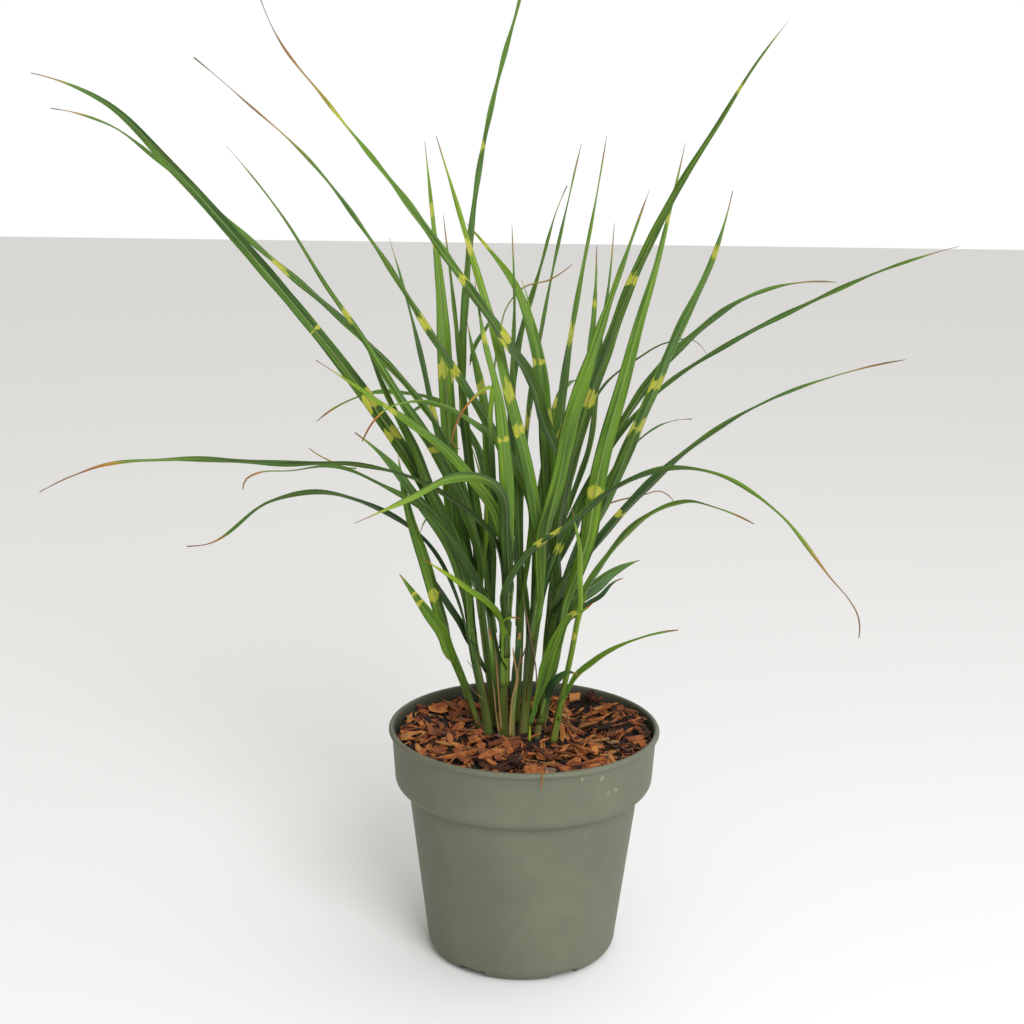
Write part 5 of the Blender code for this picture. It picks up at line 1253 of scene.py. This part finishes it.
# %% One chip on the ground
def lay_chip(ground, place, yaw, size):
    """Rest a chip on the ground: fit a plane to the heights under it, stand on it, then raise the ground.

    Returns the chip's centre and its two level directions turned into the plane.
    """
    reach = 0.5 * math.hypot(size[0], size[1]) + CELL
    i0, i1 = np.searchsorted(GROUND, [place[0] - reach, place[0] + reach])
    j0, j1 = np.searchsorted(GROUND, [place[1] - reach, place[1] + reach])
    x, y = GROUND[i0:i1, None] - place[0], GROUND[None, j0:j1] - place[1]
    h = ground[i0:i1, j0:j1]
    along = x * math.cos(yaw) + y * math.sin(yaw)
    off = -x * math.sin(yaw) + y * math.cos(yaw)
    inside = (np.abs(along) < size[0] * 0.46) & (np.abs(off) < size[1] * 0.46 + CELL / 2)
    if inside.sum() < 3:
        inside = (np.abs(along) < CELL) & (np.abs(off) < CELL)
    a, b, height = along[inside], off[inside], h[inside]
    basis = np.stack([a, b, np.ones(len(a))], axis=1)
    slope_a, slope_b, level = np.linalg.lstsq(basis, height, rcond=None)[0]
    slope_a, slope_b = np.clip([slope_a, slope_b], -0.5, 0.5)
    level = np.percentile(height - slope_a * a - slope_b * b, 75)
    top = level + size[2] * 0.75 + slope_a * a + slope_b * b
    ground[i0:i1, j0:j1][inside] = np.maximum(height, top)
    ahead = np.array([math.cos(yaw), math.sin(yaw), slope_a])
    aside = np.array([-math.sin(yaw), math.cos(yaw), slope_b])
    return np.array([place[0], place[1], level + size[2] * 0.5]), ahead, aside


def lay_all(spots, yaws, sizes, ground, rng, tilt=0.0):
    """Lay chips in order, each tipped a little further at random, and return their points as one array."""
    shapes = chip_shapes(sizes, rng)
    tips = rng.normal(0.0, 1.0, (len(sizes), 2)) * tilt
    spots = clear_of_wall(spots, yaws, sizes)
    for k, (spot, yaw, size) in enumerate(zip(spots, yaws, sizes)):
        centre, ahead, aside = lay_chip(ground, spot, yaw, size)
        centre[2] += 0.25 * (abs(tips[k, 0]) * size[0] + abs(tips[k, 1]) * size[1])
        ahead[2] += tips[k, 0]
        aside[2] += tips[k, 1]
        ahead = ahead / np.linalg.norm(ahead)
        aside = aside - ahead * (aside @ ahead)
        aside = aside / np.linalg.norm(aside)
        shapes[k] = centre + shapes[k] @ np.stack([ahead, aside, np.cross(ahead, aside)])
    return shapes


# %% Where chips fall, and how large they are
def scatter(count, rng, edge, crown_share):
    """Random spots in the pot: even over the ground, kept off the shoots and thinner between them."""
    x, y = rng.uniform(-0.091, 0.091, (2, count * 6))
    inside = (np.hypot(x, y) < edge) & (shoot_gap(x, y) > 0.0020)
    crown = np.hypot(x - CROWN[0], y - CROWN[1]) < 0.024
    inside &= ~crown | (rng.uniform(0, 1, len(x)) < crown_share)
    return np.stack([x, y], axis=1)[inside][:count]


def bark_sizes(count, rng):
    """Chip sizes in metres: mostly small flakes and splinters, a few large plates."""
    kind = rng.uniform(0, 1, count)
    long_side = np.where(kind < 0.42, rng.uniform(3, 7, count), np.where(
        kind < 0.80, rng.uniform(7, 13, count), rng.uniform(12, 22, count)))
    ratio = np.where(rng.uniform(0, 1, count) < 0.5, rng.uniform(0.14, 0.3, count),
                     rng.uniform(0.35, 0.75, count))
    thick = rng.uniform(0.6, 1.5, count) * np.clip(long_side / 9, 0.7, 1.2)
    return np.stack([long_side, np.maximum(long_side * ratio, 1.0), thick], axis=1) * 0.001


print("ground cells:", len(GROUND) ** 2)


# %% Bark material
def bark_material():
    """Dry pine bark: gives the eye dull flakes from near black to orange and tan, with darker fissures."""
    material, tree, shader = new_material("pine_bark_chip")
    place = add(tree, "TexCoord", out="Object")
    grain = add(tree, "Attribute", out="Vector", attribute_name="grain")
    level = add(tree, "Attribute", out="Fac", attribute_name="tint")
    fibre = drawn_noise(tree, grain, (110.0, 900.0, 900.0), 4.0, roughness=0.65)
    blotch = add(tree, "TexNoise", {"Vector": place, "Scale": 260.0, "Detail": 3.0})
    for noise, reach in ((fibre, 0.14), (blotch, 0.10)):
        swing = add(tree, "MapRange", (noise, 0.3, 0.7, -reach, reach))
        level = add(tree, "Math", (level, swing), operation="ADD")
    colour = add(tree, "ValToRGB", (level,))
    set_ramp(colour, [(0.0, "1a1210"), (0.2, "3a231b"), (0.38, "6c3e28"), (0.58, "92522e"), (0.74, "ae703a"),
                      (0.86, "9a7440"), (0.95, "6d5c4a"), (1.0, "574a46")])
    bump = add(tree, "Bump", {"Height": fibre, "Strength": 0.9, "Distance": 0.0006})
    set_inputs(shader, {"Base Color": colour, "Normal": bump, "Roughness": 0.85, "Specular IOR Level": 0.2})
    return material


# %% Chips joined into a piece
def chips_piece(name, shapes, tints, material, stands_for):
    """Join chips into one piece; each keeps its own grain direction and tint."""
    count = len(shapes)
    points = shapes.reshape(count, -1, 3)
    local = points - points.mean(axis=1, keepdims=True)
    ahead = unit(points[:, 0] - points[:, CHIP_SIDES // 2])[:, None, :]
    u = (local * ahead).sum(axis=-1)
    v = np.linalg.norm(local - u[..., None] * ahead, axis=-1)
    grain = np.stack([u + np.arange(count)[:, None] * 0.37, v, np.zeros_like(u)], axis=-1)
    tint = np.broadcast_to(np.asarray(tints)[:, None], u.shape)
    piece = make_piece(name, points, chip_faces(count), material, stands_for,
                       {"grain": grain.reshape(-1, 3), "tint": tint.ravel()})
    piece.data.set_sharp_from_angle(angle=math.radians(24))
    return piece


# %% [markdown]
# ## The chips that stand out
# The largest flakes and strips are laid one by one, after the rest: two long strips crossing at the front
# left, three side by side at the right, plates round the front, and a dark block at the back. Their places
# were worked out by another program and copied in, rounded.

# %% Chips laid one by one
# (x mm, y mm, yaw degrees, length mm, width mm, thickness mm, tint, extra height mm)
BY_HAND = (
    (-43, -46, 35, 44, 6.0, 2.4, 0.60, 0), (-22, -38, 57, 40, 6.0, 2.4, 0.68, 0),
    (-36, 2, 10, 9, 9.0, 2.6, 0.66, 0), (-31, -17, 60, 13, 10.0, 2.2, 0.76, 0),
    (-45, -20, -10, 17, 6.5, 2.0, 0.68, 0), (-60, -35, 45, 17, 11.0, 2.2, 0.48, 0),
    (-19, -6, -5, 19, 6.0, 2.0, 0.42, 0), (-16, -69, 50, 11, 7.0, 1.6, 0.82, 0),
    (-37, -60, 100, 14, 2.4, 1.8, 0.88, 0), (-7, -65, 80, 13, 11.0, 3.5, 0.12, 0),
    (-7, -37, -40, 15, 8.0, 2.0, 0.42, 0), (38, 74, 5, 12, 9.0, 2.2, 0.78, 5),
    (50, 67, 5, 10, 8.0, 6.5, 0.20, 5), (56, 51, -8, 34, 3.2, 2.4, 0.62, 0),
    (40, -15, 70, 14, 9.0, 2.0, 0.46, 0), (48, -40, 80, 10, 6.0, 2.0, 0.70, 0),
    (28, -38, -52, 36, 4.0, 2.4, 0.46, 0), (34, -31, -56, 36, 3.4, 2.2, 0.60, 0),
    (41, -38, -50, 26, 4.0, 2.0, 0.56, 0), (78, -14, 5, 13, 7.0, 2.0, 0.50, 0),
    (65, 28, 30, 14, 4.0, 2.0, 0.56, 0), (53, 41, 10, 13, 9.0, 2.0, 0.64, 0),
    (44, -58, 5, 24, 3.5, 2.2, 0.60, 0), (47, -64, 30, 12, 4.0, 2.0, 0.58, 0),
    (16, -69, -35, 14, 4.0, 1.8, 0.86, 0), (6, -70, 20, 10, 6.0, 1.8, 0.68, 0),
)


def lay_by_hand(ground, rng):
    """Lay the chips of the table, and raise each by its extra height."""
    rows = np.array(BY_HAND, float)
    shapes = lay_all(rows[:, :2] * 0.001, np.radians(rows[:, 2]), rows[:, 3:6] * 0.001, ground, rng, 0.04)
    shapes[..., 2] += rows[:, 7, None, None] * 0.001
    return shapes, rows[:, 6]


print("laid by hand:", len(BY_HAND))


# %% Lay the mulch
def random_tints(count, rng):
    """Tints of chips: most orange-brown, a sixth dark, and some tan, olive or grey."""
    kind = rng.uniform(0, 1, count)
    return np.where(kind < 0.16, rng.uniform(0.05, 0.25, count), np.where(
        kind < 0.78, rng.normal(0.50, 0.10, count), np.where(
            kind < 0.93, rng.uniform(0.64, 0.82, count), rng.uniform(0.86, 1.0, count))))


# %% One layer of chips
def layer(count, edge, crown_share, tilt, ground, rng, sizes_of):
    """One layer: spots, sizes with the small ones first on the whole, turns, and tints."""
    spots = scatter(count, rng, edge, crown_share)
    sizes = sizes_of(len(spots), rng)
    sizes = sizes[np.argsort(sizes[:, 0] + rng.normal(0, 0.004, len(sizes)))]
    yaws = rng.uniform(0, 2 * math.pi, len(spots))
    return lay_all(spots, yaws, sizes, ground, rng, tilt), random_tints(len(spots), rng)


def crumb_sizes(count, rng):
    """Crumbs of one to three millimetres, nearly round."""
    return rng.uniform(0.0010, 0.0028, (count, 1)) * rng.uniform(0.7, 1.2, (count, 3))


def shred_sizes(count, rng):
    """Shreds: 4 to 16 mm long, under a millimetre thick."""
    return np.stack([rng.uniform(4, 16, count), rng.uniform(0.5, 1.1, count), rng.uniform(0.4, 0.7, count)],
                    axis=1) * 0.001


# %% The whole pile
def pile_mulch():
    """Crumbs on the compost, then flakes, the listed flakes one by one, and last the fine shreds."""
    rng = np.random.default_rng(21)
    gx, gy = np.meshgrid(GROUND, GROUND, indexing="ij")
    ground = soil_height(gx, gy)
    crumbs, _ = layer(900, 0.0890, 0.9, 0.0, ground, rng, crumb_sizes)
    flakes, tints = layer(900, 0.0895, 0.35, 0.30, ground, rng, bark_sizes)
    hand, hand_tints = lay_by_hand(ground, rng)
    shreds, shred_tints = layer(420, 0.0880, 0.5, 0.12, ground, rng, shred_sizes)
    keep = flakes[..., 2].max(axis=(1, 2)) < HIGHEST_FLAKE_Z
    print("highest flake:", float(flakes[..., 2].max()), "left out:", int((~keep).sum()))
    flakes, tints = np.concatenate([flakes[keep], hand]), np.concatenate([tints[keep], hand_tints])
    return crumbs, flakes, tints, shreds, shred_tints


crumb_shapes, flake_shapes, flake_tints, shred_shapes, shred_tints = pile_mulch()
bark = bark_material()
chips_piece("bark_chips", flake_shapes, flake_tints, bark, ["bark_mulch"])
chips_piece("bark_shreds", shred_shapes, shred_tints, bark, ())
chips_piece("compost_crumbs", crumb_shapes, np.full(len(crumb_shapes), 0.5),
            soil_piece.data.materials[0], ())
print("flakes:", len(flake_shapes), "shreds:", len(shred_shapes), "crumbs:", len(crumb_shapes))
